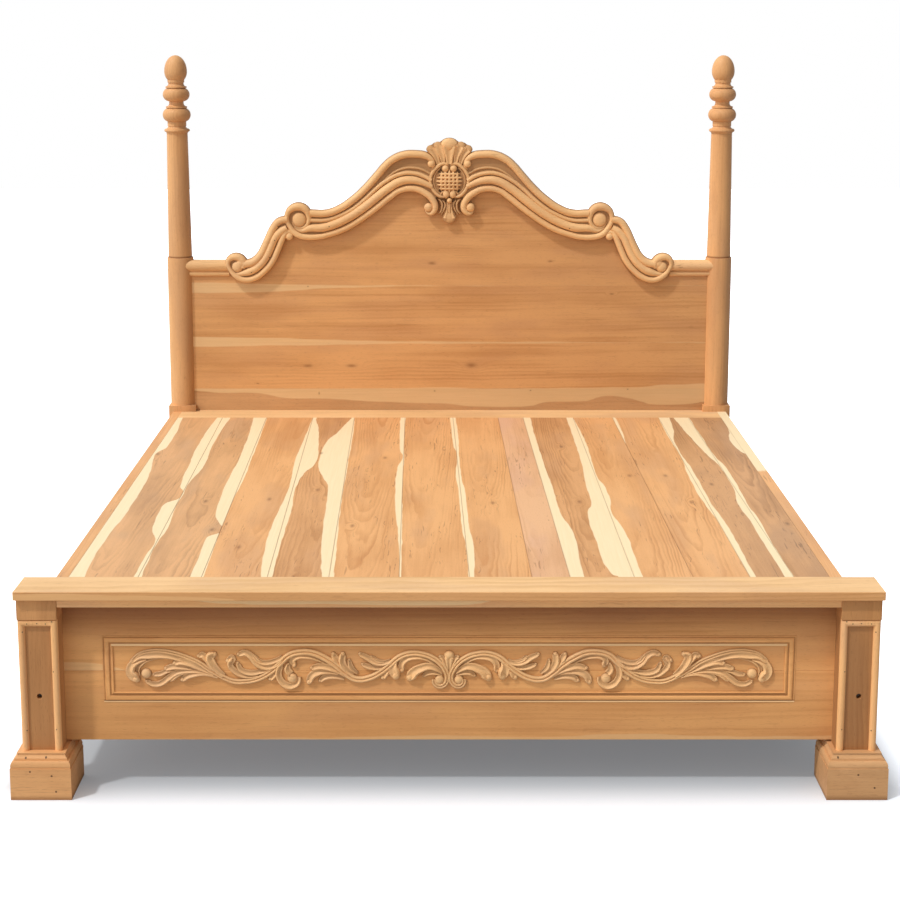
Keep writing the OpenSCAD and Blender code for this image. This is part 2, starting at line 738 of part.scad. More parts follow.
// Foot post: recessed face between planted beads, plain block on top, stub tenon underneath
module foot_post() {
  s = foot_post_side / 2;
  translate([foot_x, foot_y, 0]) {
    difference() {
      union() {
        translate([-s, -s + bead_w / 2, plinth_h]) cube([2 * s, 2 * s - bead_w / 2, cap_bottom - plinth_h]);
        translate([-s, -s, post_block_bottom]) cube([2 * s, 2 * s, cap_bottom - post_block_bottom]);
        translate([-dowel_side / 2, -dowel_side / 2, plinth_h - dowel_h + clear])
          cube([dowel_side, dowel_side, dowel_h]);
      }
      translate([-s - cut, foot_panel_recess - s - clear, foot_panel_clear - clear])
        cube([groove_depth + cut, foot_panel_t + 2 * clear, frieze_bottom - foot_panel_clear + clear]);
      bolt_bore(-s - cut, 2 * s + 2 * cut);
      translate([rail_x - foot_x - rail_t / 4 - clear, s - rail_tenon - clear, rail_bottom + 30 - clear])
        cube([rail_t / 2 + 2 * clear, rail_tenon + cut + clear, rail_h - 60 + 2 * clear]);
    }
  }
}

module bolt_bore(y, len) {
  translate([rail_x - foot_x, y, bolt_height]) rotate([-90, 0, 0]) cylinder(h = len, d = bolt_hole_d);
}

// Half-round beads of the foot post face, mitred at the corners
module post_beads() {
  s = foot_post_side / 2;
  r = bead_w / 2;
  low = plinth_h;
  high = post_block_bottom;
  translate([foot_x, field_y, 0]) difference() {
    union() {
      intersection() {
        union() {
          translate([-s + r, 0, low]) cylinder(h = high - low, r = r);
          translate([s - r, 0, low]) cylinder(h = high - low, r = r);
        }
        bead_plan([[-s, low], [s, low], [s, high], [0, high - s], [-s, high]]);
      }
      intersection() {
        translate([-s, 0, high - r]) rotate([0, 90, 0]) cylinder(h = 2 * s, r = r);
        bead_plan([[-s, high], [0, high - s], [s, high]]);
      }
    }
    translate([-s - cut, 0, low - cut]) cube([2 * s + 2 * cut, bead_w, high - low + 2 * cut]);
  }
}

module bead_plan(pts) {
  translate([0, bead_w, 0]) rotate([90, 0, 0]) linear_extrude(2 * bead_w) polygon(pts);
}

// Cap rail lying on the foot posts and on the frieze strip
module cap_rail() {
  w = foot_x + foot_post_side / 2 + cap_end;
  translate([-w, foot_face_y - cap_front, cap_bottom]) cube([2 * w, cap_depth, cap_t]);
}

module frieze_strip() {
  y0 = foot_face_y + frieze_set;
  translate([-foot_inner_x, y0, frieze_bottom])
    cube([2 * foot_inner_x, foot_panel_back - y0, frieze_h]);
}

// Footboard board with its ends housed in the posts
module foot_board(low, high) {
  w = foot_inner_x + groove_depth - 1;
  translate([-w, foot_panel_y, low]) cube([2 * w, foot_panel_t, high - low]);
}

// A flat picture frame in the plane of the panel face, inset from the outside of the moulding
module flat_frame(inset, width, height) {
  half_x = frame_half - inset;
  half_z = frame_h / 2 - inset;
  rotate([90, 0, 0]) linear_extrude(height) difference() {
    square([2 * half_x, 2 * half_z], center = true);
    square([2 * (half_x - width), 2 * (half_z - width)], center = true);
  }
}

// One round bead of the moulding along X, its outside edge at z = 0, mitred inwards
module bead_bar(len) {
  rise = frame_proud - lip_h / 2;
  r = (bead_half * bead_half + rise * rise) / (2 * rise);
  intersection() {
    translate([-len / 2, r - frame_proud, bead_inset]) rotate([0, 90, 0]) cylinder(h = len, r = r);
    rotate([90, 0, 0]) translate([0, 0, lip_h / 2]) linear_extrude(frame_proud)
      polygon([[-len / 2, 0], [len / 2, 0], [len / 2 - frame_w, frame_w], [-len / 2 + frame_w, frame_w]]);
  }
}

// Raised frame on the footboard panel: a flat base with two lips and a round bead between them
module panel_moulding() {
  translate([0, foot_panel_y, frame_z]) union() {
    flat_frame(0, frame_w, lip_h);
    flat_frame(0, frame_w * 0.14, frame_proud * 0.75);
    flat_frame(frame_w * 0.82, frame_w * 0.18, frame_proud * 0.9);
    for (turn = [0, 180]) rotate([0, turn, 0]) translate([0, 0, -frame_h / 2]) bead_bar(2 * frame_half);
    for (turn = [90, -90]) rotate([0, turn, 0]) translate([0, 0, -frame_half]) bead_bar(frame_h);
  }
}

// Carved scroll of the footboard: bevelled leaves standing off the panel
function carve_pt(p) = [(p[0] - carve_axis) * unit * carve_fit_x, (carve_mid - p[1]) * unit * carve_fit_z];

module leaf_slice(p, w) {
  q = carve_pt(p);
  translate([q[0], 0, q[1]]) rotate([90, 0, 0])
    cylinder(h = carve_depth, r1 = w * unit * 1.05, r2 = w * unit * 0.4, $fn = 5);
}

// A leaf runs along its path, with the given steps per span
module leaf(l, steps) {
  path = smooth(l[0], steps);
  n = len(path);
  for (i = [0 : n - 2]) {
    hull() {
      leaf_slice(path[i], l[1] + (l[2] - l[1]) * i / (n - 1));
      leaf_slice(path[i + 1], l[1] + (l[2] - l[1]) * (i + 1) / (n - 1));
    }
  }
}

module half_carving() {
  leaf(wave, 3);
  for (l = leaves) leaf(l, 1);
  for (b = buttons) {
    q = carve_pt(b);
    translate([q[0], 0, q[1]]) scale([1, 0.7, 1]) sphere(r = b[2] * unit * 1.2, $fn = 12);
  }
}

module foot_carving() {
  translate([0, foot_panel_y, frame_z]) difference() {
    union() {
      half_carving();
      mirror([1, 0, 0]) half_carving();
      hull() {
        leaf_slice([4161, 560], 26);
        leaf_slice([4161, 300], 26);
      }
      hull() {
        leaf_slice([4161, 300], 26);
        leaf_slice([4161, 222], 46);
      }
    }
    translate([-frame_half, 0, -frame_h]) cube([2 * frame_half, frame_h, 2 * frame_h]);
  }
}

// Side rail with a stub tenon and a cross hole for the barrel nut at each end
module side_rail() {
  difference() {
    union() {
      translate([rail_inner_x, foot_back_y, rail_bottom]) cube([rail_t, head_face_y - foot_back_y, rail_h]);
      translate([rail_x - rail_t / 4, foot_back_y - rail_tenon, rail_bottom + 30])
        cube([rail_t / 2, head_face_y - foot_back_y + 2 * rail_tenon, rail_h - 60]);
    }
    for (y = [foot_back_y + nut_set, head_face_y - nut_set]) {
      translate([rail_inner_x - cut, y, bolt_height]) rotate([0, 90, 0])
        cylinder(h = rail_t + 2 * cut - nut_cover, d = nut_d + 2 * clear);
    }
    for (y = [foot_back_y - rail_tenon - cut, head_face_y - nut_set - bolt_past - cut]) {
      translate([rail_x, y, bolt_height]) rotate([-90, 0, 0])
        cylinder(h = nut_set + rail_tenon + bolt_past + 2 * cut, d = bolt_d + 2 * clear);
    }
  }
}

module ledger() {
  translate([rail_inner_x - ledger_side, foot_back_y, ledger_top - ledger_side])
    cube([ledger_side, head_face_y - foot_back_y, ledger_side]);
}

// Deck plank between two seams that run slightly out of square
module plank(i) {
  translate([0, 0, plank_bottom]) linear_extrude(plank_t)
    polygon([
      [seams_foot[i] * deck_half, foot_back_y],
      [seams_foot[i + 1] * deck_half, foot_back_y],
      [seams_head[i + 1] * deck_half, strip_front_y],
      [seams_head[i] * deck_half, strip_front_y]
    ]);
}

// Strip across the head of the deck, notched round both posts, up to the headboard panel
module head_strip() {
  translate([0, 0, plank_bottom]) linear_extrude(plank_t)
    polygon([
      [-deck_half, strip_front_y], [deck_half, strip_front_y], [deck_half, head_face_y],
      [head_inner_x, head_face_y], [head_inner_x, head_panel_y],
      [-head_inner_x, head_panel_y], [-head_inner_x, head_face_y], [-deck_half, head_face_y]
    ]);
}

module bearer(i) {
  translate([-deck_half, bearer_y[i], ledger_top]) cube([2 * deck_half, bearer_w, bearer_h]);
}

module centre_beam() {
  y1 = head_panel_y + head_panel_t / 2 - head_rail_t / 2;
  translate([-beam_w / 2, foot_panel_back, beam_bottom]) cube([beam_w, y1 - foot_panel_back, beam_h]);
}

module centre_leg(y) {
  translate([-beam_w / 2, y - beam_w / 2, 0]) cube([beam_w, beam_w, beam_bottom]);
}

// Bed bolts with round heads sunk in the posts
module bed_bolts() {
  for (m = [0, 1]) mirror([m, 0, 0]) {
    translate([rail_x, field_y + head_sink, bolt_height]) rotate([-90, 0, 0]) bed_bolt_shape(foot_len);
    translate([rail_x, head_y + head_post_side / 2 - head_sink, bolt_height]) rotate([90, 0, 0])
      bed_bolt_shape(head_len);
  }
}

module bed_bolt_shape(len) {
  difference() {
    union() {
      cylinder(h = len, d = bolt_d);
      cylinder(h = 8, d = bolt_hole_d - 2 * clear);
    }
    translate([0, 0, -cut]) cylinder(h = 4 + cut, d = 5, $fn = 6);
  }
}

module barrel_nuts() {
  for (m = [0, 1], y = [foot_back_y + nut_set, head_face_y - nut_set]) mirror([m, 0, 0]) {
    translate([rail_inner_x + 1, y, bolt_height]) difference() {
      rotate([0, 90, 0]) cylinder(h = rail_t - nut_cover - 2, d = nut_d);
      translate([rail_x - rail_inner_x - 1, -nut_d, 0]) rotate([-90, 0, 0])
        cylinder(h = 2 * nut_d, d = bolt_d + clear);
    }
  }
}

module mirrored() {
  mirror([1, 0, 0]) children();
}

color("Peru") mirrored() head_post();  // head_post_left
color("Peru") head_post();  // head_post_right
color("SandyBrown") mirrored() upper_post();  // upper_post_left
color("SandyBrown") upper_post();  // upper_post_right
color("Peru") mirrored() finial();  // finial_left
color("Peru") finial();  // finial_right
color("BurlyWood") head_board(head_groove_bottom, head_seam_z[0]);  // head_board_1
color("Tan") head_board(head_seam_z[0], head_seam_z[1]);  // head_board_2
color("BurlyWood") head_board(head_seam_z[1], head_seam_z[2]);  // head_board_3
color("Tan") head_board(head_seam_z[2], head_seam_z[3]);  // head_board_4
color("BurlyWood") head_board(head_seam_z[3], 2 * end_rail_top);  // head_board_5
color("Peru") head_bottom_rail();
color("SandyBrown") mirrored() end_rail();  // end_rail_left
color("SandyBrown") end_rail();  // end_rail_right
color("Peru") mirrored() lower_scroll();  // lower_scroll_left
color("Peru") lower_scroll();  // lower_scroll_right
color("SandyBrown") mirrored() seated_scroll();  // upper_scroll_left
color("SandyBrown") seated_scroll();  // upper_scroll_right
color("Peru") cartouche();
color("Peru") mirrored() foot_post();  // foot_post_left
color("Peru") foot_post();  // foot_post_right
color("SandyBrown") mirrored() plinth();  // plinth_left
color("SandyBrown") plinth();  // plinth_right
color("BurlyWood") mirrored() post_beads();  // post_beads_left
color("BurlyWood") post_beads();  // post_beads_right
color("SandyBrown") cap_rail();
color("BurlyWood") frieze_strip();
color("Tan") foot_board(foot_seam, frieze_bottom);  // foot_panel_upper
color("BurlyWood") foot_board(foot_panel_clear, foot_seam);  // foot_panel_lower
color("SandyBrown") panel_moulding();
color("SandyBrown") foot_carving();
color("Peru") mirrored() side_rail();  // side_rail_left
color("Peru") side_rail();  // side_rail_right
color("Tan") mirrored() ledger();  // ledger_left
color("Tan") ledger();  // ledger_right
color("BurlyWood") plank(0);  // plank_01
color("Tan") plank(1);  // plank_02
color("BurlyWood") plank(2);  // plank_03
color("Tan") plank(3);  // plank_04
color("BurlyWood") plank(4);  // plank_05
color("Tan") plank(5);  // plank_06
color("BurlyWood") plank(6);  // plank_07
color("Tan") plank(7);  // plank_08
color("BurlyWood") plank(8);  // plank_09
color("Tan") plank(9);  // plank_10
color("BurlyWood") plank(10);  // plank_11
color("Tan") plank(11);  // plank_12
color("BurlyWood") plank(12);  // plank_13
color("Wheat") head_strip();
color("Tan") bearer(0);  // bearer_1
color("Tan") bearer(1);  // bearer_2
color("Tan") bearer(2);  // bearer_3
color("Tan") bearer(3);  // bearer_4
color("Tan") bearer(4);  // bearer_5
color("Peru") centre_beam();
color("Peru") centre_leg(-bed_length * 0.16);  // centre_leg_front
color("Peru") centre_leg(bed_length * 0.16);  // centre_leg_back
color("DimGray") bed_bolts();
color("Silver") barrel_nuts();
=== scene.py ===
"""Poster bed in solid golden hardwood: finishes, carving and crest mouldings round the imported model."""
import logging
import math
from dataclasses import dataclass, field, replace
from enum import Enum
from typing import Iterable, Optional, Sequence, Union

import bpy
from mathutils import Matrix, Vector


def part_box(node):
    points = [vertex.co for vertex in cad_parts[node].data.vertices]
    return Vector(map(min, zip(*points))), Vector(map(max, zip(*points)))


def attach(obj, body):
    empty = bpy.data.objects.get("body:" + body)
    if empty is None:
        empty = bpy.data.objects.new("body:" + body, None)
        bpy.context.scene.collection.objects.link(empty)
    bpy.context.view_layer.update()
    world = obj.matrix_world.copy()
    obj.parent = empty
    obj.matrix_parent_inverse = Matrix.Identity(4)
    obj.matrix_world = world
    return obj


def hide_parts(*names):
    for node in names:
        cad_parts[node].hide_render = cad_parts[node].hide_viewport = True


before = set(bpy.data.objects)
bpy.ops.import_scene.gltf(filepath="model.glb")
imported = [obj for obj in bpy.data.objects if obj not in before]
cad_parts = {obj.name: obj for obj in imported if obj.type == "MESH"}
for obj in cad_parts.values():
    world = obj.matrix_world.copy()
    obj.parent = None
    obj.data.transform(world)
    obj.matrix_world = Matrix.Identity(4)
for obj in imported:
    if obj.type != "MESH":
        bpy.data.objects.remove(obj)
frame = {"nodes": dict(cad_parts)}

log = logging.getLogger("poster_bed")
Socket = bpy.types.NodeSocket
Value = Union[float, Socket]
Point = tuple[float, float]
Colour = tuple[float, float, float, float]

MM = 0.001
BODY = "root"
FAR = 9.0


class Grain(Enum):
    """Direction in which the grain of a board runs, with its across and depth axes."""

    WIDTH = ("X", "Z", "Y")
    WIDTH_FLAT = ("X", "Y", "Z")
    LENGTH = ("Y", "X", "Z")
    LENGTH_UPRIGHT = ("Y", "Z", "X")
    HEIGHT = ("Z", "X", "Y")


class Edge(Enum):
    """Edge of a board that a band of sapwood follows."""

    LOW = "low"
    HIGH = "high"


class Way(Enum):
    """Direction in a board, as its place in the board's grain."""

    ALONG = 0
    ACROSS = 1
    THROUGH = 2


class Pattern(Enum):
    """Patterns in the wood, as their scales along and across the grain."""

    WARP = (1.3, 5.0)
    RIPPLE = (11.0, 36.0)
    FIBRE = (7.0, 260.0)
    STREAKS = (0.9, 34.0)
    CLOUDS = (2.3, 8.5)
    ASHEN = (2.89, 10.2)
    FLECKS = (6.0, 230.0)
    CLUSTERS = (4.03, 16.9)
    PORES = (60.0, 900.0)


class Tone(Enum):
    """Colour families of the boards: pale wood, late wood, dark pores and ashen patches."""

    GOLDEN = ("#E7AF76", "#C98E58", "#80502D", "#CF9E72")
    HONEY = ("#F0C58F", "#D4A56C", "#8F5D36", "#DBB288")
    TAWNY = ("#DAA470", "#B47F4E", "#74482A", "#C2926A")
    ROSY = ("#E6B68A", "#D09D72", "#875A3B", "#DAAD90")
    GREYISH = ("#E0AC78", "#B88A5E", "#6B4A30", "#C09A76")
    DUSKY = ("#D09E6E", "#A97B50", "#65452C", "#B48C68")
    PANEL = ("#E8AE72", "#C88C53", "#87552F", "#D69E6C")
    CARVED = ("#F5C48A", "#DBA56A", "#7C4E2A", "#E5B686")
    AMBER = ("#F7BE80", "#DCA066", "#8A5834", "#E4B082")
    FRONT = ("#EEAF6D", "#CE8C4F", "#824820", "#DC9F68")
    PLINTH = ("#D6A472", "#B98756", "#74482A", "#C29567")
    FIELD = ("#D39961", "#B47C49", "#6B4425", "#BF8B5A")
    UMBER = ("#C38A53", "#A36D3F", "#5F3C22", "#AE7C50")


SAPWOOD = ("#FCEAC2", "#F4DBAC")
CREAM = ("#F8D4A0", "#EDC48C")
HOLE = "#3A2415"
# Tints of painted shade: the usual one, and a warmer one for the cap rail's front.
SHADED = "#7E5A34"
CAP_SHADED = "#DFAA64"
# Colour of the painted highlights on the moulding's edges.
PAINTED_HIGHLIGHT = "#FFDCA6"


def srgb(code: str) -> Colour:
    """Turn a colour code into the linear colour that a shader takes.

    Args:
        code: colour as a hash sign and six hexadecimal digits.

    Returns:
        Red, green, blue and an alpha of 1.
    """
    parts = [int(code[i:i + 2], 16) / 255 for i in (1, 3, 5)]
    linear = [c / 12.92 if c <= 0.04045 else ((c + 0.055) / 1.055) ** 2.4 for c in parts]
    return (linear[0], linear[1], linear[2], 1.0)


class Nodes:
    """The nodes of one tree, added by short calls."""

    def __init__(self, tree: bpy.types.NodeTree) -> None:
        """Start with an empty tree."""
        self.tree = tree
        self.tree.nodes.clear()

    def put(self, socket: Socket, value: object) -> None:
        """Link a socket to a value, or set it.

        Args:
            socket: the input that is filled.
            value: another node's output, or a number or tuple.
        """
        if isinstance(value, bpy.types.NodeSocket):
            self.tree.links.new(value, socket)
        else:
            socket.default_value = value

    def node(self, kind: str, inputs: Optional[dict] = None, **settings: object) -> bpy.types.Node:
        """Add a node.

        Args:
            kind: class name of the node.
            inputs: values or links of its inputs, by name or number.
            settings: properties of the node.

        Returns:
            The new node.
        """
        made = self.tree.nodes.new(kind)
        for key, value in settings.items():
            setattr(made, key, value)
        for key, value in (inputs or {}).items():
            self.put(made.inputs[key], value)
        return made

    def math(self, operation: str, *values: Value, clamp: bool = False) -> Socket:
        """Add a math node.

        Args:
            operation: name of the operation.
            values: its operands.
            clamp: whether the result is kept from 0 to 1.

        Returns:
            The result.
        """
        made = self.node("ShaderNodeMath", dict(enumerate(values)), operation=operation)
        made.use_clamp = clamp
        return made.outputs[0]

    def ease(self, value: Value, low: float, high: float) -> Socket:
        """Step smoothly from 0 to 1 as a value goes from low to high."""
        made = self.node("ShaderNodeMapRange", {0: value, 1: low, 2: high},
                         interpolation_type="SMOOTHSTEP")
        return made.outputs[0]

    def mix(self, share: Value, a: object, b: object, blend: str = "MIX") -> Socket:
        """Mix two colours.

        Args:
            share: weight of the second colour.
            a: first colour.
            b: second colour.
            blend: blend type.

        Returns:
            The mixed colour.
        """
        made = self.node("ShaderNodeMix", data_type="RGBA", blend_type=blend)
        for socket, value in zip((made.inputs[0], made.inputs[6], made.inputs[7]), (share, a, b)):
            self.put(socket, value)
        return made.outputs[2]

    def noise(self, vector: Socket, scale: float, detail: float = 2.0, name: str = "Fac") -> Socket:
        """Add noise on a vector and return its output of the given name."""
        made = self.node("ShaderNodeTexNoise", {"Vector": vector, "Scale": scale, "Detail": detail})
        return made.outputs[name]

    def combine(self, x: Value, y: Value, z: Value) -> Socket:
        """Make a vector of three values."""
        return self.node("ShaderNodeCombineXYZ", {0: x, 1: y, 2: z}).outputs[0]

    def curve(self, value: Value, points: Sequence[Point]) -> Socket:
        """Follow a smooth curve through points from 0 to 1.

        Args:
            value: place along the curve.
            points: the curve's points, each from 0 to 1.

        Returns:
            The curve's height.
        """
        made = self.node("ShaderNodeFloatCurve", {"Value": value})
        line = made.mapping.curves[0]
        for _ in range(len(points) - 2):
            line.points.new(0.5, 0.5)
        for target, place in zip(line.points, sorted(points)):
            target.location = place
        made.mapping.update()
        return made.outputs[0]


class Graph(Nodes):
    """The nodes of one material."""

    def __init__(self, name: str) -> None:
        """Start a material with the given name, its shader and its output."""
        self.material = bpy.data.materials.new(name)
        self.material.use_nodes = True
        super().__init__(self.material.node_tree)
        self.shader = self.node("ShaderNodeBsdfPrincipled")
        self.node("ShaderNodeOutputMaterial", {"Surface": self.shader.outputs["BSDF"]})


class BoardGraph(Graph):
    """The nodes of a board's material, with its places along, across and through the grain."""

    def __init__(self, name: str, grain: Grain, seed: float) -> None:
        """Start the material on Object coordinates.

        Args:
            name: name of the material.
            grain: direction of the grain.
            seed: start of the patterns.
        """
        super().__init__(name)
        axes = self.node("ShaderNodeSeparateXYZ", {0: self.node("ShaderNodeTexCoord").outputs["Object"]})
        self.along, self.across, self.depth = (axes.outputs[axis] for axis in grain.value)
        self.shift = self.math("ADD", self.along, seed)

    def place(self, way: Way) -> Socket:
        """Give the place in one direction of the board."""
        return (self.along, self.across, self.depth)[way.value]

    def stretched(self, pattern: Pattern) -> Socket:
        """Make the vector that stretches a pattern along the grain."""
        length, width = pattern.value
        return self.combine(self.math("MULTIPLY", self.shift, length),
                            self.math("MULTIPLY", self.across, width),
                            self.math("MULTIPLY", self.depth, width))

    def patterned(self, pattern: Pattern, detail: float) -> Socket:
        """Make noise that is stretched along the grain."""
        return self.noise(self.stretched(pattern), 1.0, detail)

    def bends(self, pattern: Pattern, detail: float) -> list[Socket]:
        """Make three noises that are stretched along the grain."""
        colour = self.noise(self.stretched(pattern), 1.0, detail, "Color")
        return list(self.node("ShaderNodeSeparateXYZ", {0: colour}).outputs)


@dataclass(frozen=True)
class Band:
    """A band of sapwood along one edge of a board, bounded by a line of (along, across) in metres."""

    edge: Edge
    line: tuple[Point, ...]

    def place(self, g: BoardGraph) -> Socket:
        """Follow the line along the board.

        Args:
            g: the board's nodes.

        Returns:
            The line's place across the board.
        """
        run = [u for u, _ in self.line]
        width = [v for _, v in self.line]
        start, span = min(run), max(run) - min(run)
        low, room = min(width) - 0.01, max(width) - min(width) + 0.02
        points = [((u - start) / span, (v - low) / room) for u, v in self.line]
        u = g.math("DIVIDE", g.math("SUBTRACT", g.along, start), span, clamp=True)
        return g.math("MULTIPLY_ADD", g.curve(u, points), room, low)


@dataclass(frozen=True)
class Spot:
    """A knot or nail hole at a point in metres, with its radius along and across the grain."""

    along: float
    across: float
    length: float
    width: float

    def distance(self, g: BoardGraph, grow: float = 1.0) -> Socket:
        """Measure the squared distance from the spot.

        Args:
            g: the board's nodes.
            grow: the distance's unit, in sizes of the spot.

        Returns:
            The squared distance.
        """
        u = g.math("MULTIPLY", g.math("SUBTRACT", g.along, self.along), 1 / (self.length * grow))
        v = g.math("MULTIPLY", g.math("SUBTRACT", g.across, self.across), 1 / (self.width * grow))
        return g.math("ADD", g.math("MULTIPLY", u, u), g.math("MULTIPLY", v, v))


@dataclass(frozen=True)
class Shade:
    """Gentle darkening painted on a board that grows from start to end, and stays on beyond it up to stop:
    mostly painted shade, elsewhere a dark joint or wood darker towards one side.
    """

    way: Way
    start: float
    end: float
    share: float
    stop: float = FAR
    tint: str = SHADED

    def draw(self, g: BoardGraph, colour: Socket) -> Socket:
        """Darken the part of the board.

        Args:
            g: the board's nodes.
            colour: colour so far.

        Returns:
            The colour with the shade.
        """
        place = g.place(self.way)
        before_stop = g.math("MULTIPLY", g.ease(place, self.stop, self.stop - 0.001), self.share)
        share = g.math("MULTIPLY", g.ease(place, self.start, self.end), before_stop)
        return g.mix(share, colour, srgb(self.tint), "MULTIPLY")


@dataclass(frozen=True)
class Line:
    """A thin line along a board: dark as in a seam or as painted shade, or pale as a painted highlight on an
    edge.
    """

    across: float
    slope: float = 0.0
    half: float = 0.0026
    share: float = 0.5
    # Whether the line is a pale painted highlight instead of a dark line.
    painted_highlight: bool = False
    reach: float = FAR

    def draw(self, g: BoardGraph, colour: Socket, dark: Colour) -> Socket:
        """Draw the line.

        Args:
            g: the board's nodes.
            colour: colour so far.
            dark: colour of a seam or of painted shade.

        Returns:
            The colour with the line.
        """
        centre = g.math("MULTIPLY_ADD", g.along, self.slope, self.across)
        off = g.math("ABSOLUTE", g.math("SUBTRACT", g.across, centre))
        near = g.ease(g.math("ABSOLUTE", g.along), self.reach, self.reach - 0.002)
        drawn = g.math("MULTIPLY", g.ease(off, self.half, self.half * 0.3), near)
        return g.mix(g.math("MULTIPLY", drawn, self.share), colour, srgb(PAINTED_HIGHLIGHT) if self.painted_highlight else dark)


@dataclass(frozen=True)
class Hardwood:
    """Finish of one board: colours, growth rings, flecks, sapwood, knots and fine pores."""

    tone: Tone
    grain: Grain
    seed: float = 0.0
    ring_gap: float = 0.0065
    pith_across: float = 0.0
    pith_depth: float = -0.07
    lean: float = 0.02
    wander: float = 0.016
    figure: float = 1.0
    streaks: float = 0.4
    clouds: float = 1.25
    flecks: float = 0.5
    roughness: float = 0.49
    sap: tuple[str, str] = SAPWOOD
    sap_share: float = 0.93
    sap_edge: float = 0.0012
    bands: tuple[Band, ...] = ()
    knots: tuple[Spot, ...] = ()
    holes: tuple[Spot, ...] = ()
    shades: tuple[Shade, ...] = ()
    lines: tuple[Line, ...] = ()

    def material(self, name: str) -> bpy.types.Material:
        """Build the finish as a material.

        Args:
            name: name of the material.

        Returns:
            The material, drawn on Object coordinates.
        """
        g = BoardGraph(name, self.grain, self.seed)
        warp = g.bends(Pattern.WARP, 2.0)
        ripple = g.bends(Pattern.RIPPLE, 1.0)
        rings = self._rings(g, warp, ripple)
        fibre = g.patterned(Pattern.FIBRE, 3.0)
        pores = g.ease(g.patterned(Pattern.PORES, 1.0), 0.62, 0.74)
        dark = srgb(self.tone.value[2])
        colour = self._heartwood(g, rings, fibre)
        colour = g.mix(self._flecks(g, ripple), colour, dark)
        colour = g.mix(g.math("MULTIPLY", pores, 0.28), colour, dark)
        colour = self._sapwood(g, colour, warp, ripple, fibre)
        colour = self._spots(g, colour, dark)
        for shade in self.shades:
            colour = shade.draw(g, colour)
        for line in self.lines:
            colour = line.draw(g, colour, dark)
        height = g.math("SUBTRACT", g.math("ADD", g.math("MULTIPLY", rings, 0.4), fibre), pores)
        bump = g.node("ShaderNodeBump", {"Strength": 0.2, "Distance": 0.0005, "Height": height})
        g.put(g.shader.inputs["Base Color"], colour)
        g.put(g.shader.inputs["Roughness"], g.math("MULTIPLY_ADD", fibre, 0.14, self.roughness))
        g.put(g.shader.inputs["Normal"], bump.outputs[0])
        g.shader.inputs["Specular IOR Level"].default_value = 0.32
        return g.material

    def _heartwood(self, g: BoardGraph, rings: Socket, fibre: Socket) -> Socket:
        """Mix the wood's pale and late colours by rings, streaks and clouds, with ashen patches.

        Args:
            g: the board's nodes.
            rings: weight of the late wood lines.
            fibre: finest noise along the grain.

        Returns:
            The colour of the heartwood.
        """
        pale, late, _, ash = (srgb(code) for code in self.tone.value)
        streak = g.patterned(Pattern.STREAKS, 2.0)
        cloud = g.patterned(Pattern.CLOUDS, 3.0)
        ashen = g.ease(g.patterned(Pattern.ASHEN, 2.0), 0.46, 0.66)
        weight = g.math("MULTIPLY_ADD", rings, self.figure, 0.16)
        for part, share in ((fibre, 0.42), (streak, self.streaks), (cloud, self.clouds)):
            weight = g.math("MULTIPLY_ADD", g.math("SUBTRACT", part, 0.5), share, weight)
        early = g.mix(g.math("MULTIPLY", ashen, 0.55), pale, ash)
        return g.mix(g.math("ADD", weight, 0.0, clamp=True), early, late)

    def _flecks(self, g: BoardGraph, ripple: Sequence[Socket]) -> Socket:
        """Gather short dark dashes that lie along the grain and waver a little.

        Args:
            g: the board's nodes.
            ripple: fine noises that bend the dashes.

        Returns:
            The weight of the dashes.
        """
        bend = g.math("MULTIPLY", g.math("SUBTRACT", ripple[1], 0.5), 5.0)
        shifted = g.node("ShaderNodeVectorMath",
                         {0: g.stretched(Pattern.FLECKS), 1: g.combine(0.0, bend, bend)}, operation="ADD")
        dashes = g.ease(g.noise(shifted.outputs[0], 1.0, 1.0), 0.61, 0.72)
        cluster = g.ease(g.patterned(Pattern.CLUSTERS, 1.0), 0.48, 0.62)
        return g.math("MULTIPLY", g.math("MULTIPLY", dashes, cluster), self.flecks)

    def _rings(self, g: BoardGraph, warp: Sequence[Socket], ripple: Sequence[Socket]) -> Socket:
        """Cut growth rings round a leaning pith, and bend them round the knots.

        Args:
            g: the board's nodes.
            warp: slow noises that bend the rings.
            ripple: fine noises that roughen them.

        Returns:
            The weight of the late wood line.
        """
        bend = [g.math("MULTIPLY_ADD", g.math("SUBTRACT", warp[i], 0.5), self.wander * 2,
                       g.math("MULTIPLY", g.math("SUBTRACT", ripple[i], 0.5), 0.007))
                for i in (0, 1)]
        a = g.math("SUBTRACT", g.math("ADD", g.across, bend[0]),
                   g.math("MULTIPLY_ADD", g.along, self.lean * 0.3, self.pith_across))
        d = g.math("SUBTRACT", g.math("ADD", g.depth, bend[1]),
                   g.math("MULTIPLY_ADD", g.along, self.lean, self.pith_depth))
        reach = g.math("SQRT", g.math("ADD", g.math("MULTIPLY", a, a), g.math("MULTIPLY", d, d)))
        for knot in self.knots:
            near = g.math("MULTIPLY", knot.distance(g, 2.2), -1.0)
            reach = g.math("MULTIPLY_ADD", g.math("EXPONENT", near), self.ring_gap * 3.0, reach)
        rings = g.math("DIVIDE", reach, self.ring_gap)
        part = g.math("FRACT", rings)
        strength = g.noise(g.combine(g.math("MULTIPLY", g.math("FLOOR", rings), 0.73), self.seed, 0.0),
                           1.0, 0.0)
        weight = g.math("MULTIPLY", g.ease(strength, 0.25, 0.7), g.ease(warp[2], 0.32, 0.60))
        return g.math("MULTIPLY", g.math("SUBTRACT", g.ease(part, 0.15, 0.86), g.ease(part, 0.86, 1.0)),
                      g.math("MULTIPLY", weight, 0.42))

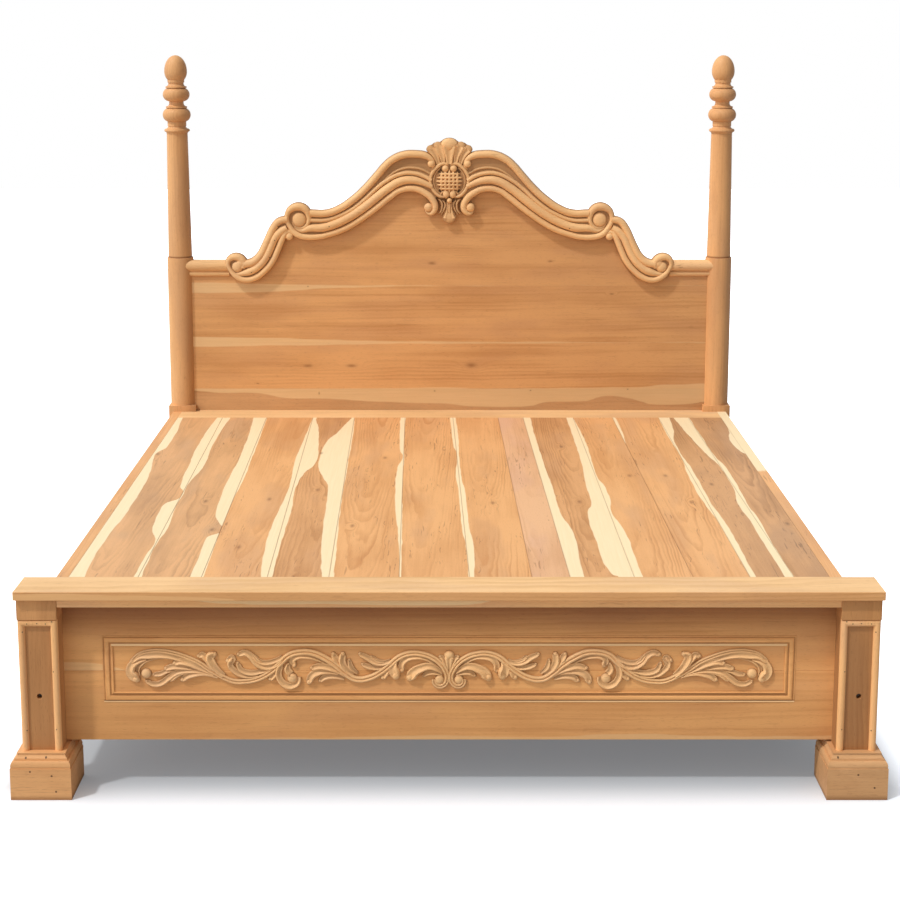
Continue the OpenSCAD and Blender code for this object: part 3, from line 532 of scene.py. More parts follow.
    def _sapwood(self, g: BoardGraph, colour: Socket, warp: Sequence[Socket], ripple: Sequence[Socket],
                 fibre: Socket) -> Socket:
        """Lay pale sapwood beyond each band's line.

        Args:
            g: the board's nodes.
            colour: colour of the heartwood.
            warp: slow noises, which waver the line.
            ripple: fine noises, which waver it too.
            fibre: finest noise along the grain.

        Returns:
            The colour with sapwood.
        """
        if not self.bands:
            return colour
        waver = g.math("MULTIPLY_ADD", g.math("SUBTRACT", warp[2], 0.5), 0.006,
                       g.math("MULTIPLY", g.math("SUBTRACT", ripple[2], 0.5), 0.006))
        edge = g.math("ADD", g.math("ADD", g.across, waver),
                      g.math("MULTIPLY", g.math("SUBTRACT", fibre, 0.5), 0.004))
        pale, shade = (srgb(code) for code in self.sap)
        sap_colour = g.mix(g.math("MULTIPLY", fibre, 0.9, clamp=True), pale, shade)
        for band in self.bands:
            ends = (band.place(g), edge) if band.edge is Edge.LOW else (edge, band.place(g))
            inside = g.ease(g.math("SUBTRACT", *ends), -self.sap_edge, self.sap_edge)
            colour = g.mix(g.math("MULTIPLY", inside, self.sap_share), colour, sap_colour)
        return colour

    def _spots(self, g: BoardGraph, colour: Socket, dark: Colour) -> Socket:
        """Darken knots and nail holes.

        Args:
            g: the board's nodes.
            colour: colour so far.
            dark: colour of a knot.

        Returns:
            The colour with its spots.
        """
        for knot in self.knots:
            reach = g.math("MULTIPLY", knot.distance(g), -1.1)
            colour = g.mix(g.math("MULTIPLY", g.math("EXPONENT", reach), 0.62), colour, dark)
        for hole in self.holes:
            inside = g.math("SUBTRACT", 0.85, g.ease(hole.distance(g), 0.3, 1.2), clamp=True)
            colour = g.mix(inside, colour, srgb(HOLE))
        return colour


CARVED_WOOD = Hardwood(Tone.CARVED, Grain.WIDTH, 4.0, figure=0.6, flecks=0.2)


@dataclass(frozen=True)
class Steel:
    """Finish of the bolts and nuts: zinc with a fine brushed bloom."""

    colour: str = "#8E8A84"
    dull: str = "#6B675F"

    def material(self, name: str) -> bpy.types.Material:
        """Build the finish as a material with the given name."""
        g = Graph(name)
        place = g.node("ShaderNodeTexCoord").outputs["Object"]
        bloom = g.noise(place, 180.0, 4.0)
        g.put(g.shader.inputs["Base Color"], g.mix(bloom, srgb(self.colour), srgb(self.dull)))
        g.put(g.shader.inputs["Roughness"], g.math("MULTIPLY_ADD", bloom, 0.25, 0.28))
        g.shader.inputs["Metallic"].default_value = 1.0
        return g.material


def deselect_all() -> None:
    """Leave edit mode and deselect every object."""
    if bpy.context.object and bpy.context.object.mode != "OBJECT":
        bpy.ops.object.mode_set(mode="OBJECT")
    bpy.ops.object.select_all(action="DESELECT")


def pick(*objects: bpy.types.Object) -> bpy.types.Object:
    """Select objects only, the last one active, and return it."""
    deselect_all()
    for thing in objects:
        thing.select_set(True)
    bpy.context.view_layer.objects.active = objects[-1]
    return objects[-1]


def apply_modifier(thing: bpy.types.Object, kind: str, **settings: object) -> None:
    """Add a modifier to an object and apply it.

    Args:
        thing: the object.
        kind: type of the modifier.
        settings: its properties.
    """
    modifier = thing.modifiers.new(kind.title(), kind)
    for key, value in settings.items():
        setattr(modifier, key, value)
    pick(thing)
    bpy.ops.object.modifier_apply(modifier=modifier.name)


def join(name: str, things: Sequence[bpy.types.Object]) -> bpy.types.Object:
    """Join objects into one with the given name."""
    joined = pick(*things)
    if len(things) > 1:
        bpy.ops.object.join()
    joined.name = joined.data.name = name
    return joined


def close_up(thing: bpy.types.Object) -> None:
    """Merge doubles and turn every face of a closed mesh outwards."""
    pick(thing)
    bpy.ops.object.mode_set(mode="EDIT")
    bpy.ops.mesh.select_all(action="SELECT")
    bpy.ops.mesh.remove_doubles(threshold=0.00002)
    bpy.ops.mesh.normals_make_consistent(inside=False)
    bpy.ops.object.mode_set(mode="OBJECT")


def dress(thing: bpy.types.Object, material: bpy.types.Material) -> None:
    """Give every slot of an object one material."""
    if not thing.material_slots:
        thing.data.materials.append(material)
    for slot in thing.material_slots:
        slot.material = material


def finish_piece(piece: bpy.types.Object, material: bpy.types.Material,
                 nodes: Iterable[str]) -> None:
    """Dress a new piece and fasten it to the model.

    Args:
        piece: the finished mesh.
        material: its finish.
        nodes: the nodes that it stands for.
    """
    dress(piece, material)
    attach(piece, BODY)
    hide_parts(*nodes)
    log.info("%s: %d faces, stands for %s", piece.name, len(piece.data.polygons), ", ".join(nodes))


def spread(stops: Sequence[float], count: int) -> list[float]:
    """Spread a few values evenly over a count of places, with straight lines between."""
    if len(stops) == 1:
        return [stops[0]] * count
    values = []
    for i in range(count):
        place = i * (len(stops) - 1) / (count - 1)
        k = min(int(place), len(stops) - 2)
        values.append(stops[k] + (stops[k + 1] - stops[k]) * (place - k))
    return values


@dataclass
class Brush:
    """Sweeps a cross-section along lines that are drawn on an upright face."""

    face_y: float
    steps: int = 8

    def section(self, name: str, outline: Sequence[Point]) -> bpy.types.Object:
        """Draw a closed cross-section.

        Args:
            name: name of the section.
            outline: its points as (across, outwards), one unit being half its width.

        Returns:
            The curve object.
        """
        bpy.ops.curve.primitive_bezier_curve_add()
        drawn = bpy.context.object
        drawn.name = name
        line = drawn.data.splines[0]
        line.bezier_points.add(len(outline) - 2)
        line.use_cyclic_u = True
        for target, (x, y) in zip(line.bezier_points, outline):
            target.co = (x, y, 0)
            target.handle_left_type = target.handle_right_type = "AUTO"
        drawn.data.dimensions = "2D"
        drawn.data.resolution_u = 2
        return drawn

    def stroke(self, path: Sequence[Sequence[float]], widths: Sequence[float],
               section: bpy.types.Object) -> bpy.types.Object:
        """Sweep a section along a path.

        Args:
            path: points as (x, z) or (x, z, height above the face) in metres.
            widths: half widths, spread evenly along the path.
            section: the cross-section.

        Returns:
            The swept curve object.
        """
        bpy.ops.curve.primitive_bezier_curve_add()
        swept = bpy.context.object
        line = swept.data.splines[0]
        line.bezier_points.add(len(path) - 2)
        for target, point, width in zip(line.bezier_points, path, spread(widths, len(path))):
            target.co = (point[0], point[1], point[2] if len(point) > 2 else 0.0)
            target.radius = width
            target.handle_left_type = target.handle_right_type = "AUTO"
        swept.data.dimensions = "3D"
        swept.data.twist_mode = "Z_UP"
        swept.data.resolution_u = self.steps
        swept.data.bevel_mode = "OBJECT"
        swept.data.bevel_object = section
        swept.data.use_fill_caps = True
        return swept

    def web(self, outline: Sequence[Point], thickness: float) -> bpy.types.Object:
        """Fill an outline and thicken it backwards from the face.

        Args:
            outline: its points as (x, z) in metres.
            thickness: thickness of the plate.

        Returns:
            The plate as a curve object.
        """
        plate = self.section("web", outline)
        plate.data.resolution_u = 4
        plate.data.fill_mode = "BOTH"
        plate.data.extrude = thickness / 2
        plate.location.z = -thickness / 2
        return plate

    def ball(self, centre: Point, radius: float, flat: float = 1.0, lift: float = 0.0,
             tall: float = 1.0, segments: int = 32) -> bpy.types.Object:
        """Model a boss, a ball pressed flat against the face.

        Args:
            centre: its centre as (x, z) in metres.
            radius: its radius.
            flat: its depth as a part of its radius.
            lift: height of its centre above the face.
            tall: its height as a part of its width.
            segments: number of its meridians.

        Returns:
            The mesh object.
        """
        place = (centre[0], self.face_y - lift, centre[1])
        bpy.ops.mesh.primitive_uv_sphere_add(segments=segments, ring_count=segments // 2, radius=radius,
                                             location=place, rotation=(math.pi / 2, 0, 0))
        boss = bpy.context.object
        boss.scale = (1, tall, flat)
        bpy.ops.object.transform_apply(location=True, rotation=True, scale=True)
        bpy.ops.object.shade_smooth()
        return boss

    def raise_up(self, name: str, strokes: Sequence[bpy.types.Object]) -> bpy.types.Object:
        """Turn drawn strokes into one mesh that stands on the face.

        Args:
            name: name of the mesh.
            strokes: the swept curves.

        Returns:
            The mesh object, with its place in its mesh.
        """
        pick(*strokes)
        bpy.ops.object.convert(target="MESH")
        bpy.ops.object.transform_apply(location=True, rotation=True, scale=True)
        relief = join(name, strokes)
        relief.location = (0, self.face_y, 0)
        relief.rotation_euler = (math.pi / 2, 0, 0)
        bpy.ops.object.transform_apply(location=True, rotation=True, scale=True)
        close_up(relief)
        pick(relief)
        bpy.ops.object.shade_smooth_by_angle(angle=math.radians(40))
        return relief


# Half of the footboard's carving, in units of the drawing: each line is (points, widths at its
# start, middle and end). The drawing's left edge and top edge are its zero.
DRAWING_UNIT = 0.1951 * MM
DRAWING_AXIS = 4161
DRAWING_MIDDLE = 399


@dataclass
class FootCarving:
    """Carved scroll of the footboard panel, an acanthus wave and its mirror image."""

    face_y: float
    middle_z: float
    wave: tuple[Point, ...] = (
        (345, 300), (430, 215), (560, 172), (700, 165), (850, 190), (1000, 240), (1150, 310),
        (1270, 395), (1400, 470), (1560, 545), (1700, 550), (1850, 520), (2000, 440), (2130, 320),
        (2240, 220), (2380, 180), (2520, 188), (2660, 250), (2800, 345), (2920, 450), (3040, 520),
        (3200, 505), (3340, 430), (3440, 350), (3560, 245), (3700, 195), (3840, 205), (3960, 250),
        (4060, 330), (4110, 400), (4140, 500), (4110, 585), (4040, 612), (3985, 570), (3982, 520))
    leaves: tuple[tuple[tuple[Point, ...], float, float, float], ...] = (
        (((345, 300), (430, 240), (560, 225), (740, 222), (900, 262), (1100, 335)), 24, 30, 14),
        (((400, 520), (335, 440), (345, 360), (410, 300), (520, 262)), 42, 36, 20),
        (((430, 480), (420, 400), (470, 320), (600, 262), (760, 250)), 16, 20, 12),
        (((520, 550), (600, 585), (690, 575), (780, 510), (880, 440), (1000, 415), (1150, 420),
          (1330, 460)), 20, 28, 20),
        (((610, 465), (690, 455), (770, 420), (880, 400)), 20, 24, 14),
        (((755, 388), (840, 365), (960, 370), (1090, 395)), 24, 28, 16),
        (((865, 320), (930, 300), (1040, 320), (1180, 385), (1330, 455)), 26, 30, 18),
        (((810, 530), (860, 480), (940, 440), (1060, 420)), 26, 28, 16),
        (((950, 530), (1010, 485), (1090, 455), (1220, 445), (1380, 490)), 26, 30, 18),
        (((1155, 230), (1200, 215), (1250, 260), (1310, 350), (1390, 440)), 24, 30, 22),
        (((1345, 205), (1290, 230), (1310, 310), (1370, 400), (1450, 480)), 30, 34, 24),
        (((1500, 290), (1560, 250), (1530, 330), (1600, 430), (1720, 480), (1860, 470)), 26, 26, 20),
        (((1620, 320), (1660, 400), (1760, 440), (1900, 425), (2050, 370)), 20, 26, 18),
        (((1635, 210), (1700, 188), (1780, 225), (1850, 310), (1950, 365), (2060, 350),
          (2150, 270)), 24, 32, 22),
        (((1815, 225), (1870, 290), (1960, 315), (2070, 290), (2160, 240)), 20, 24, 20),
        (((2010, 520), (2060, 465), (2110, 400)), 26, 26, 14),
        (((2300, 350), (2280, 290), (2330, 240), (2440, 232), (2560, 262), (2700, 335)), 26, 26, 14),
        (((2140, 330), (2110, 440), (2140, 540), (2210, 600), (2290, 600), (2345, 550),
          (2350, 490)), 26, 30, 22),
        (((2230, 330), (2220, 400), (2255, 450)), 20, 28, 30),
        (((2510, 382), (2600, 360), (2720, 375), (2850, 430), (2960, 500)), 24, 30, 18),
        (((2475, 560), (2500, 490), (2580, 435), (2700, 420), (2830, 440)), 30, 32, 20),
        (((2610, 540), (2660, 500), (2760, 485), (2900, 515)), 24, 28, 16),
        (((2770, 205), (2800, 260), (2850, 330)), 26, 30, 18),
        (((2885, 205), (2875, 290), (2920, 390), (3000, 470)), 28, 32, 22),
        (((2960, 280), (2985, 370), (3060, 450)), 18, 24, 14),
        (((3090, 205), (3180, 250), (3260, 300), (3360, 320), (3460, 290)), 22, 28, 20),
        (((3230, 240), (3300, 290), (3380, 300)), 18, 20, 14),
        (((3120, 335), (3200, 365), (3300, 380), (3400, 360)), 20, 26, 14),
        (((3365, 500), (3400, 440), (3440, 390)), 30, 30, 14),
        (((3520, 480), (3490, 380), (3510, 290)), 46, 40, 20),
        (((3590, 415), (3590, 340), (3640, 270), (3740, 240), (3860, 255), (3990, 330)), 26, 28, 14),
        (((3690, 500), (3740, 430), (3820, 385), (3920, 360), (4010, 390), (4080, 440)), 44, 34, 16),
        (((3850, 480), (3900, 445), (3980, 440), (4080, 470)), 18, 24, 14))
    palmette: tuple[tuple[Point, ...], float, float, float] = (
        ((4052, 240), (4080, 254), (4110, 300), (4136, 370), (4152, 450)), 21, 22, 14)
    buttons: tuple[tuple[float, float, float], ...] = ((520, 450, 65), (2275, 510, 65), (4045, 530, 59.8))
    crown: tuple[Point, ...] = ((4161, 236), (4161, 270), (4161, 320), (4161, 380), (4161, 450))
    crown_widths: tuple[float, ...] = (40, 38, 30, 22, 16)
    crown_head: tuple[float, float, float] = (4161, 217, 63)
    leaf_section: tuple[Point, ...] = (
        (-1.0, -0.1), (-0.92, 0.64), (-0.5, 0.48), (0.05, 0.58), (0.55, 1.15), (0.9, 0.88), (1.0, -0.1))
    stem_section: tuple[Point, ...] = (
        (-1.0, -0.1), (-0.85, 0.9), (-0.4, 1.0), (0.0, 0.6), (0.4, 1.1), (0.85, 0.98), (1.0, -0.1))
    petal_section: tuple[Point, ...] = (
        (-1.0, -0.1), (-0.92, 0.6), (-0.5, 0.8), (0.0, 0.5), (0.5, 0.8), (0.92, 0.6), (1.0, -0.1))
    stem_widths: tuple[float, ...] = (16, 28, 20)
    start_size: float = 0.8
    tip_size: float = 0.82
    fullness: float = 1.4
    deep: float = 0.007

    def place(self, point: Point) -> Point:
        """Take a point of the drawing to (x, z) on the panel."""
        return ((point[0] - DRAWING_AXIS) * DRAWING_UNIT,
                self.middle_z + (DRAWING_MIDDLE - point[1]) * DRAWING_UNIT)

    def build(self) -> None:
        """Carve one half, mirror it, set the crown between the halves, and dress it all with painted shade
        in its deep places.
        """
        brush = Brush(self.face_y, steps=4)
        half = self._half(brush)
        apply_modifier(half, "MIRROR", use_clip=False)
        petal = brush.section("petal_section", self.petal_section)
        crown = brush.raise_up("carving_crown", [self._stroke(brush, self.crown, self.crown_widths, petal)])
        bpy.data.objects.remove(petal)
        x, y, radius = self.crown_head
        head = brush.ball(self.place((x, y)), radius * DRAWING_UNIT, 0.78, tall=0.88)
        carving = join("foot_scroll_carving", [crown, head, half])
        # Painted shade in the carving's deep places, darkest next to the panel's face.
        painted_carving_shade = Shade(Way.THROUGH, self.face_y - self.deep, self.face_y, 0.7)
        finish = replace(CARVED_WOOD, shades=(painted_carving_shade,))
        finish_piece(carving, finish.material("carving_finish"), ["foot_carving"])

    def _half(self, brush: Brush) -> bpy.types.Object:
        """Carve the left half, its stem, leaves and buttons.

        Args:
            brush: the brush on the panel.

        Returns:
            The half as one mesh.
        """
        leaf = brush.section("leaf_section", self.leaf_section)
        stem = brush.section("stem_section", self.stem_section)
        strokes = [self._stroke(brush, self.wave, self.stem_widths, stem)]
        balls = [brush.ball(self.place((x, y)), r * DRAWING_UNIT, 0.7) for x, y, r in self.buttons]
        for path, start, middle, end in self.leaves + (self.palmette,):
            strokes.append(self._stroke(brush, path, (start, middle, end), leaf))
            radius = start * DRAWING_UNIT * self.fullness * self.tip_size
            balls.append(brush.ball(self.place(path[0]), radius, segments=16))
        half = brush.raise_up("carving_half", strokes)
        for section in (leaf, stem):
            bpy.data.objects.remove(section)
        return join("carving_half", balls + [half])

    def _stroke(self, brush: Brush, path: Sequence[Point], widths: Sequence[float],
                section: bpy.types.Object) -> bpy.types.Object:
        """Draw one leaf, rounded off at its start.

        Args:
            brush: the brush on the panel.
            path: its centre line in units of the drawing.
            widths: half widths, spread evenly along it.
            section: its cross-section.

        Returns:
            The swept leaf.
        """
        places = [self.place(point) for point in path]
        sizes = [w * DRAWING_UNIT * self.fullness for w in spread(widths, len(path))]
        (x0, z0), (x1, z1) = places[:2]
        blunt = sizes[0] * self.start_size
        share = min(0.5, blunt / math.dist(places[0], places[1]))
        places.insert(1, (x0 + (x1 - x0) * share, z0 + (z1 - z0) * share))
        return brush.stroke(places, [blunt] + sizes, section)


@dataclass
class PanelFrame:
    """Mitred moulding on the footboard panel, its section as (inwards, outwards) in millimetres."""

    low: Vector
    high: Vector
    face_y: float
    section: tuple[Point, ...] = (
        (0.0, 0.0), (0.3, 1.1), (0.9, 1.3), (3.4, 0.3), (4.4, 0.3), (5.4, 1.6), (7.2, 2.9), (9.6, 3.5),
        (12.2, 3.3), (14.4, 2.4), (15.8, 1.1), (16.4, 0.3), (18.6, 0.3), (20.0, 1.3), (22.4, 3.3),
        (23.2, 3.6), (24.6, 3.4), (25.7, 1.6), (26.2, 0.0))
    bead_in: float = 0.0215
    quirk_depth: float = 0.0016

    def build(self) -> None:
        """Model the moulding and dress it."""
        piece = self._moulding()
        finish_piece(piece, self._finish().material("footboard_frame_finish"),
                     ["panel_moulding"])

    def _finish(self) -> Hardwood:
        """Paint shade into each quirk and along the foot of the moulding, and paint highlights on its edges.
        """
        reach = self.high.x - self.bead_in + 0.001
        # Painted shade in the quirks, darkest next to the panel's face.
        painted_quirk_shade = Shade(Way.THROUGH, self.face_y - self.quirk_depth, self.face_y - 0.0002, 0.55)
        return replace(CARVED_WOOD, tone=Tone.FRONT, shades=(painted_quirk_shade,), lines=(
            # Painted highlights on the top of the inner bead and on the outer lip at the foot; painted shade
            # on the foot's outer flank and on its inner groove.
            Line(self.high.z - self.bead_in, half=0.0028, share=0.85, painted_highlight=True, reach=reach),
            Line(self.low.z + 0.0016, half=0.0024, share=0.7, painted_highlight=True),
            Line(self.low.z + 0.0048, half=0.0026, share=0.5),
            Line(self.low.z + self.bead_in, half=0.003, share=0.6, reach=reach)))

    def _moulding(self) -> bpy.types.Object:
        """Draw the section inwards from the outer edge, and close the back.

        Returns:
            The moulding as one mesh.
        """
        deselect_all()
        middle = (self.low + self.high) / 2
        bpy.ops.mesh.primitive_plane_add(size=1, location=(middle.x, self.face_y, middle.z),
                                         rotation=(math.pi / 2, 0, 0))
        frame_piece = bpy.context.object
        frame_piece.name = frame_piece.data.name = "footboard_frame"
        frame_piece.scale = (self.high.x - self.low.x, self.high.z - self.low.z, 1)
        bpy.ops.object.transform_apply(location=True, rotation=True, scale=True)
        bpy.ops.object.mode_set(mode="EDIT")
        bpy.ops.mesh.select_mode(type="FACE")
        bpy.ops.mesh.select_all(action="SELECT")
        for (s0, h0), (s1, h1) in zip(self.section, self.section[1:]):
            bpy.ops.mesh.inset(thickness=(s1 - s0) * MM, depth=(h1 - h0) * MM)
        bpy.ops.mesh.delete(type="ONLY_FACE")
        bpy.ops.mesh.select_mode(type="EDGE")
        bpy.ops.mesh.select_all(action="DESELECT")
        bpy.ops.mesh.select_non_manifold()
        bpy.ops.mesh.bridge_edge_loops()
        bpy.ops.object.mode_set(mode="OBJECT")
        close_up(frame_piece)
        bpy.ops.object.shade_smooth_by_angle(angle=math.radians(40))
        return frame_piece


@dataclass(frozen=True)
class Sheet:
    """An enlarged part of the photograph: its left and top pixel, and its units in a pixel.

    The photograph's own horizon, middle column, focal length and eye take its points to the bed.
    """

    left: float
    top: float
    scale: float
    horizon: float = 5.4
    middle: float = 450.0
    focal: float = 1884.0
    eye_y: float = -5.490
    eye_z: float = 1.8504

    def on_deck(self, x: float, y: float, deck_z: float) -> Point:
        """Take a point of the sheet to (length, width) in metres on the deck."""
        drop = self.top + y / self.scale - self.horizon
        below = self.eye_z - deck_z
        return (self.focal * below / drop + self.eye_y,
                (self.left + x / self.scale - self.middle) * below / drop)

    def on_headboard(self, x: float, y: float, face_y: float) -> Point:
        """Take a point of the sheet to (width, height) in metres on the headboard."""
        size = self.focal / (face_y - self.eye_y)
        return ((self.left + x / self.scale - self.middle) / size,
                self.eye_z - (self.top + y / self.scale - self.horizon) / size)


LEFT_SHEET = Sheet(60, 400, 3.92)
RIGHT_SHEET = Sheet(440, 400, 3.824)
HEAD_SHEET = Sheet(185, 215, 5.917)
HEAD_UNIT = 0.588 * MM
GONE = None
Row = tuple[float, Optional[float], Optional[float]]


def mirrored_copy(thing: bpy.types.Object, name: str) -> bpy.types.Object:
    """Copy a mesh object to the other side of the bed."""
    pick(thing)
    bpy.ops.object.duplicate(linked=False)
    copy = bpy.context.object
    copy.scale.x = -1
    bpy.ops.object.transform_apply(location=True, rotation=True, scale=True)
    copy.name = copy.data.name = name
    close_up(copy)
    return copy


class Profile(Enum):
    """Cross-sections of carved rolls, as (across, outwards) in units of half their width."""

    ROUND = ((-1.0, -1.25), (-1.0, 0.0), (-0.72, 0.72), (0.0, 1.04), (0.72, 0.72), (1.0, 0.0), (1.0, -1.25))
    LEAF = ((-1.0, -0.4), (-1.0, 0.22), (-0.86, 0.4), (-0.55, 0.36), (0.0, 0.12), (0.55, 0.36), (0.86, 0.4),
            (1.0, 0.22), (1.0, -0.4))


@dataclass(frozen=True)
class Roll:
    """A carved roll in millimetres: its centre line as (x, z) or (x, z, lift), half widths and section."""

    path: tuple[tuple[float, ...], ...]
    widths: tuple[float, ...]
    profile: Profile = Profile.ROUND


@dataclass(frozen=True)
class Boss:
    """A carved ball in millimetres, with its depth and height as parts of its width."""

    x: float
    z: float
    radius: float
    flat: float = 0.8
    lift: float = 0.0
    tall: float = 1.0


@dataclass(frozen=True)
class Scroll:
    """A part of the crest, drawn in millimetres: webs with rolls, volutes and balls on them."""

    webs: tuple[tuple[Point, ...], ...]
    rolls: tuple[Roll, ...]
    bosses: tuple[Boss, ...]

    def model(self, brush: Brush, name: str, thickness: float) -> bpy.types.Object:
        """Model the part.

        Args:
            brush: the brush on the web's face.
            name: name of the piece.
            thickness: thickness of the webs in metres.

        Returns:
            The part as one mesh.
        """
        sections = {kind: brush.section(f"{name}_section", kind.value) for kind in Profile}
        strokes = [brush.web([(x * MM, z * MM) for x, z in web], thickness) for web in self.webs]
        for roll in self.rolls:
            path = [tuple(value * MM for value in point) for point in roll.path]
            strokes.append(brush.stroke(path, [w * MM for w in roll.widths], sections[roll.profile]))
        body = brush.raise_up(name, strokes)
        balls = [brush.ball((b.x * MM, b.z * MM), b.radius * MM, b.flat, b.lift * MM, b.tall)
                 for b in self.bosses]
        for section in sections.values():
            bpy.data.objects.remove(section)
        return join(name, balls + [body])


LOWER_SCROLL = Scroll(
    webs=(((711, 962), (682, 967), (656, 987), (638, 1018), (622, 1053), (607, 1084), (587, 1108),
           (558, 1116), (548, 1090), (567, 1062), (580, 1040), (593, 1009), (611, 971), (638, 938),
           (671, 913), (706, 905), (738, 918), (758, 940), (762, 965), (745, 985), (722, 985)),),
    rolls=(
        Roll(((544, 1050), (546, 1068), (560, 1072), (571, 1059), (580, 1040), (593, 1009), (611, 971),
              (638, 938), (671, 913), (706, 905), (738, 918), (758, 940), (766, 962), (758, 979), (737, 985),
              (718, 976), (710, 960), (716, 947)),
             (5, 7, 9.5, 11, 11, 11, 11, 11, 11, 11, 10.5, 8, 8, 10.5, 13, 13.5, 12, 9)),
        Roll(((750, 928), (727, 926), (693, 934), (660, 953), (633, 986), (616, 1021), (600, 1054),
              (580, 1075), (560, 1086)), (3, 8, 14, 14, 14, 14, 14, 14, 12)),
        Roll(((711, 960), (682, 966), (656, 987), (638, 1018), (622, 1053), (607, 1084), (587, 1108),
              (558, 1116)), (14, 13, 12))),
    bosses=(Boss(733, 951, 20, 0.6), Boss(722, 962, 17, 0.72), Boss(552, 1057, 14, 0.85)))

UPPER_SCROLL = Scroll(
    webs=(((480, 1136), (422, 1136), (377, 1152), (333, 1181), (289, 1220), (245, 1269), (220, 1298),
         (193, 1321), (154, 1337), (114, 1339), (84, 1335), (64, 1318), (44, 1296), (44, 1196), (58, 1183),
         (84, 1207), (124, 1222), (174, 1214), (200, 1196), (245, 1160), (289, 1127), (333, 1098),
         (377, 1076), (422, 1062), (447, 1056), (498, 1055), (527, 1064), (549, 1089), (556, 1120),
         (545, 1148), (518, 1158), (492, 1150)),),
    rolls=(
        Roll(((84, 1150), (78, 1140), (68, 1135), (56, 1141), (49, 1158), (58, 1183), (84, 1207),
              (124, 1222), (174, 1214), (200, 1196), (245, 1160), (289, 1127), (333, 1098), (377, 1076),
              (422, 1062), (447, 1056), (498, 1055), (527, 1064), (549, 1089), (559, 1113), (556, 1137),
              (543, 1152), (520, 1159), (497, 1151), (485, 1130), (485, 1108), (497, 1091), (515, 1085),
              (533, 1092), (541, 1106)),
             (2.5, 5, 7.5, 10, 11.5, 12, 12, 11.5, 11, 11, 11, 11, 11, 11, 11, 11, 11, 11, 9.5, 8.5, 9.5,
              12, 14, 13, 10.5, 8.5, 6.5, 5, 4, 2.5)),
        Roll(((535, 1086), (512, 1076), (480, 1085), (433, 1087.5), (389, 1101.5), (344, 1123.5),
              (300, 1152.5), (256, 1187.5), (211, 1222.5), (164, 1248), (124, 1251), (84, 1240), (60, 1228)),
             (3, 7, 13, 15.5, 15.5, 15.5, 15.5, 15.5, 15.5, 15, 14, 11, 9)),
        Roll(((480, 1113), (422, 1114), (377, 1129), (333, 1152), (289, 1187), (256, 1218), (222, 1245),
              (164, 1273), (124, 1275), (84, 1263), (62, 1250)), (8,)),
        Roll(((230, 1245), (217, 1257), (183, 1281), (152, 1292), (118, 1293), (93, 1287), (66, 1273)),
             (2, 4.5, 4.5, 4.5, 4)),
        Roll(((480, 1136), (422, 1136), (377, 1152), (333, 1181), (289, 1220), (245, 1269), (220, 1298),
              (193, 1321), (154, 1337), (114, 1339), (84, 1335), (66, 1325), (55, 1310), (55, 1296),
              (63, 1287)), (12.5, 12.5, 12.5, 12.5, 12.5, 12.5, 12, 7, 3))),
    bosses=(Boss(517, 1115, 25, 0.46, 0, 1.05), Boss(72, 1157, 15.5, 0.8, 1), Boss(62, 1307, 12.5, 0.8, 4)))

CARTOUCHE_HALF = Scroll(
    webs=(),
    rolls=(
        Roll(((3, 1301), (10, 1306), (25, 1307), (40.5, 1297), (55.7, 1280), (64.4, 1260), (65.5, 1243),
              (60, 1225), (47, 1206), (32, 1195), (18, 1192)), (4, 6.5, 7, 7, 7, 6.5, 6.5, 6.5, 6.5, 6, 4)),
        Roll(((30, 1294), (46, 1276), (53.5, 1254), (52.5, 1236), (45, 1217), (28, 1202)),
             (2.5, 3.2, 3.2, 2.5)),
        Roll(((31, 1199), (25, 1208), (15, 1214), (4, 1216)), (3, 4.2, 4.2, 3)),
        Roll(((38, 1186), (27.4, 1175), (25, 1160), (31.8, 1140.5), (38, 1136)), (2, 3.6, 3.6, 3.2, 2)),
        Roll(((23, 1182), (14.4, 1167), (18.7, 1149), (28.5, 1131.8)), (2, 3.4, 3.4, 1.5)),
        Roll(((21, 1306, 3), (24, 1330, 4), (31, 1351, 4), (38, 1367, 3)), (6, 9.5, 13, 15), Profile.LEAF),
        Roll(((37, 1303, 2), (42, 1323, 2.5), (52, 1343, 2.5), (63, 1356, 2)), (5.5, 8.5, 11.5, 13.5),
             Profile.LEAF)),
    bosses=(Boss(14, 1290.5, 12.5, 0.9), Boss(11.5, 1203, 12, 0.8, 0, 1.3), Boss(39.5, 1368, 15, 0.3, 1.5),
            Boss(64.5, 1357.5, 13.5, 0.3, 1)))

CARTOUCHE_MIDDLE = Scroll(
    webs=(((-38, 1300), (-50, 1318), (-66, 1340), (-79, 1354), (-74, 1366), (-60, 1372), (-52, 1378),
           (-36, 1379), (-28, 1384), (-18, 1391), (0, 1395), (18, 1391), (28, 1384), (36, 1379), (52, 1378),
           (60, 1372), (74, 1366), (79, 1354), (66, 1340), (50, 1318), (38, 1300)),
          ((-8, 1178), (8, 1178), (12, 1150), (20, 1133), (23, 1118), (17, 1109), (0, 1101), (-17, 1109),
           (-23, 1118), (-20, 1133), (-12, 1150))),
    rolls=(
        Roll(((0, 1306, 5), (0, 1330, 6), (0, 1350, 6), (0, 1366, 5)), (9, 13, 19, 25), Profile.LEAF),
        Roll(((-28, 1374), (-14, 1367), (0, 1362), (14, 1367), (28, 1374)), (3.5, 5.5, 6, 5.5, 3.5)),
        Roll(((0, 1176), (0, 1150), (0, 1130), (0, 1120)), (7, 10, 16, 21), Profile.LEAF),
        Roll(((0, 1172, 2), (0, 1148, 2), (0, 1128, 1)), (3, 4, 2.5))),
    bosses=(Boss(0, 1373, 29, 0.42, 3, 0.74), Boss(0, 1121, 21.5, 0.3, 0, 0.9),
            Boss(0, 1180.5, 8.5, 1.0, 5)))


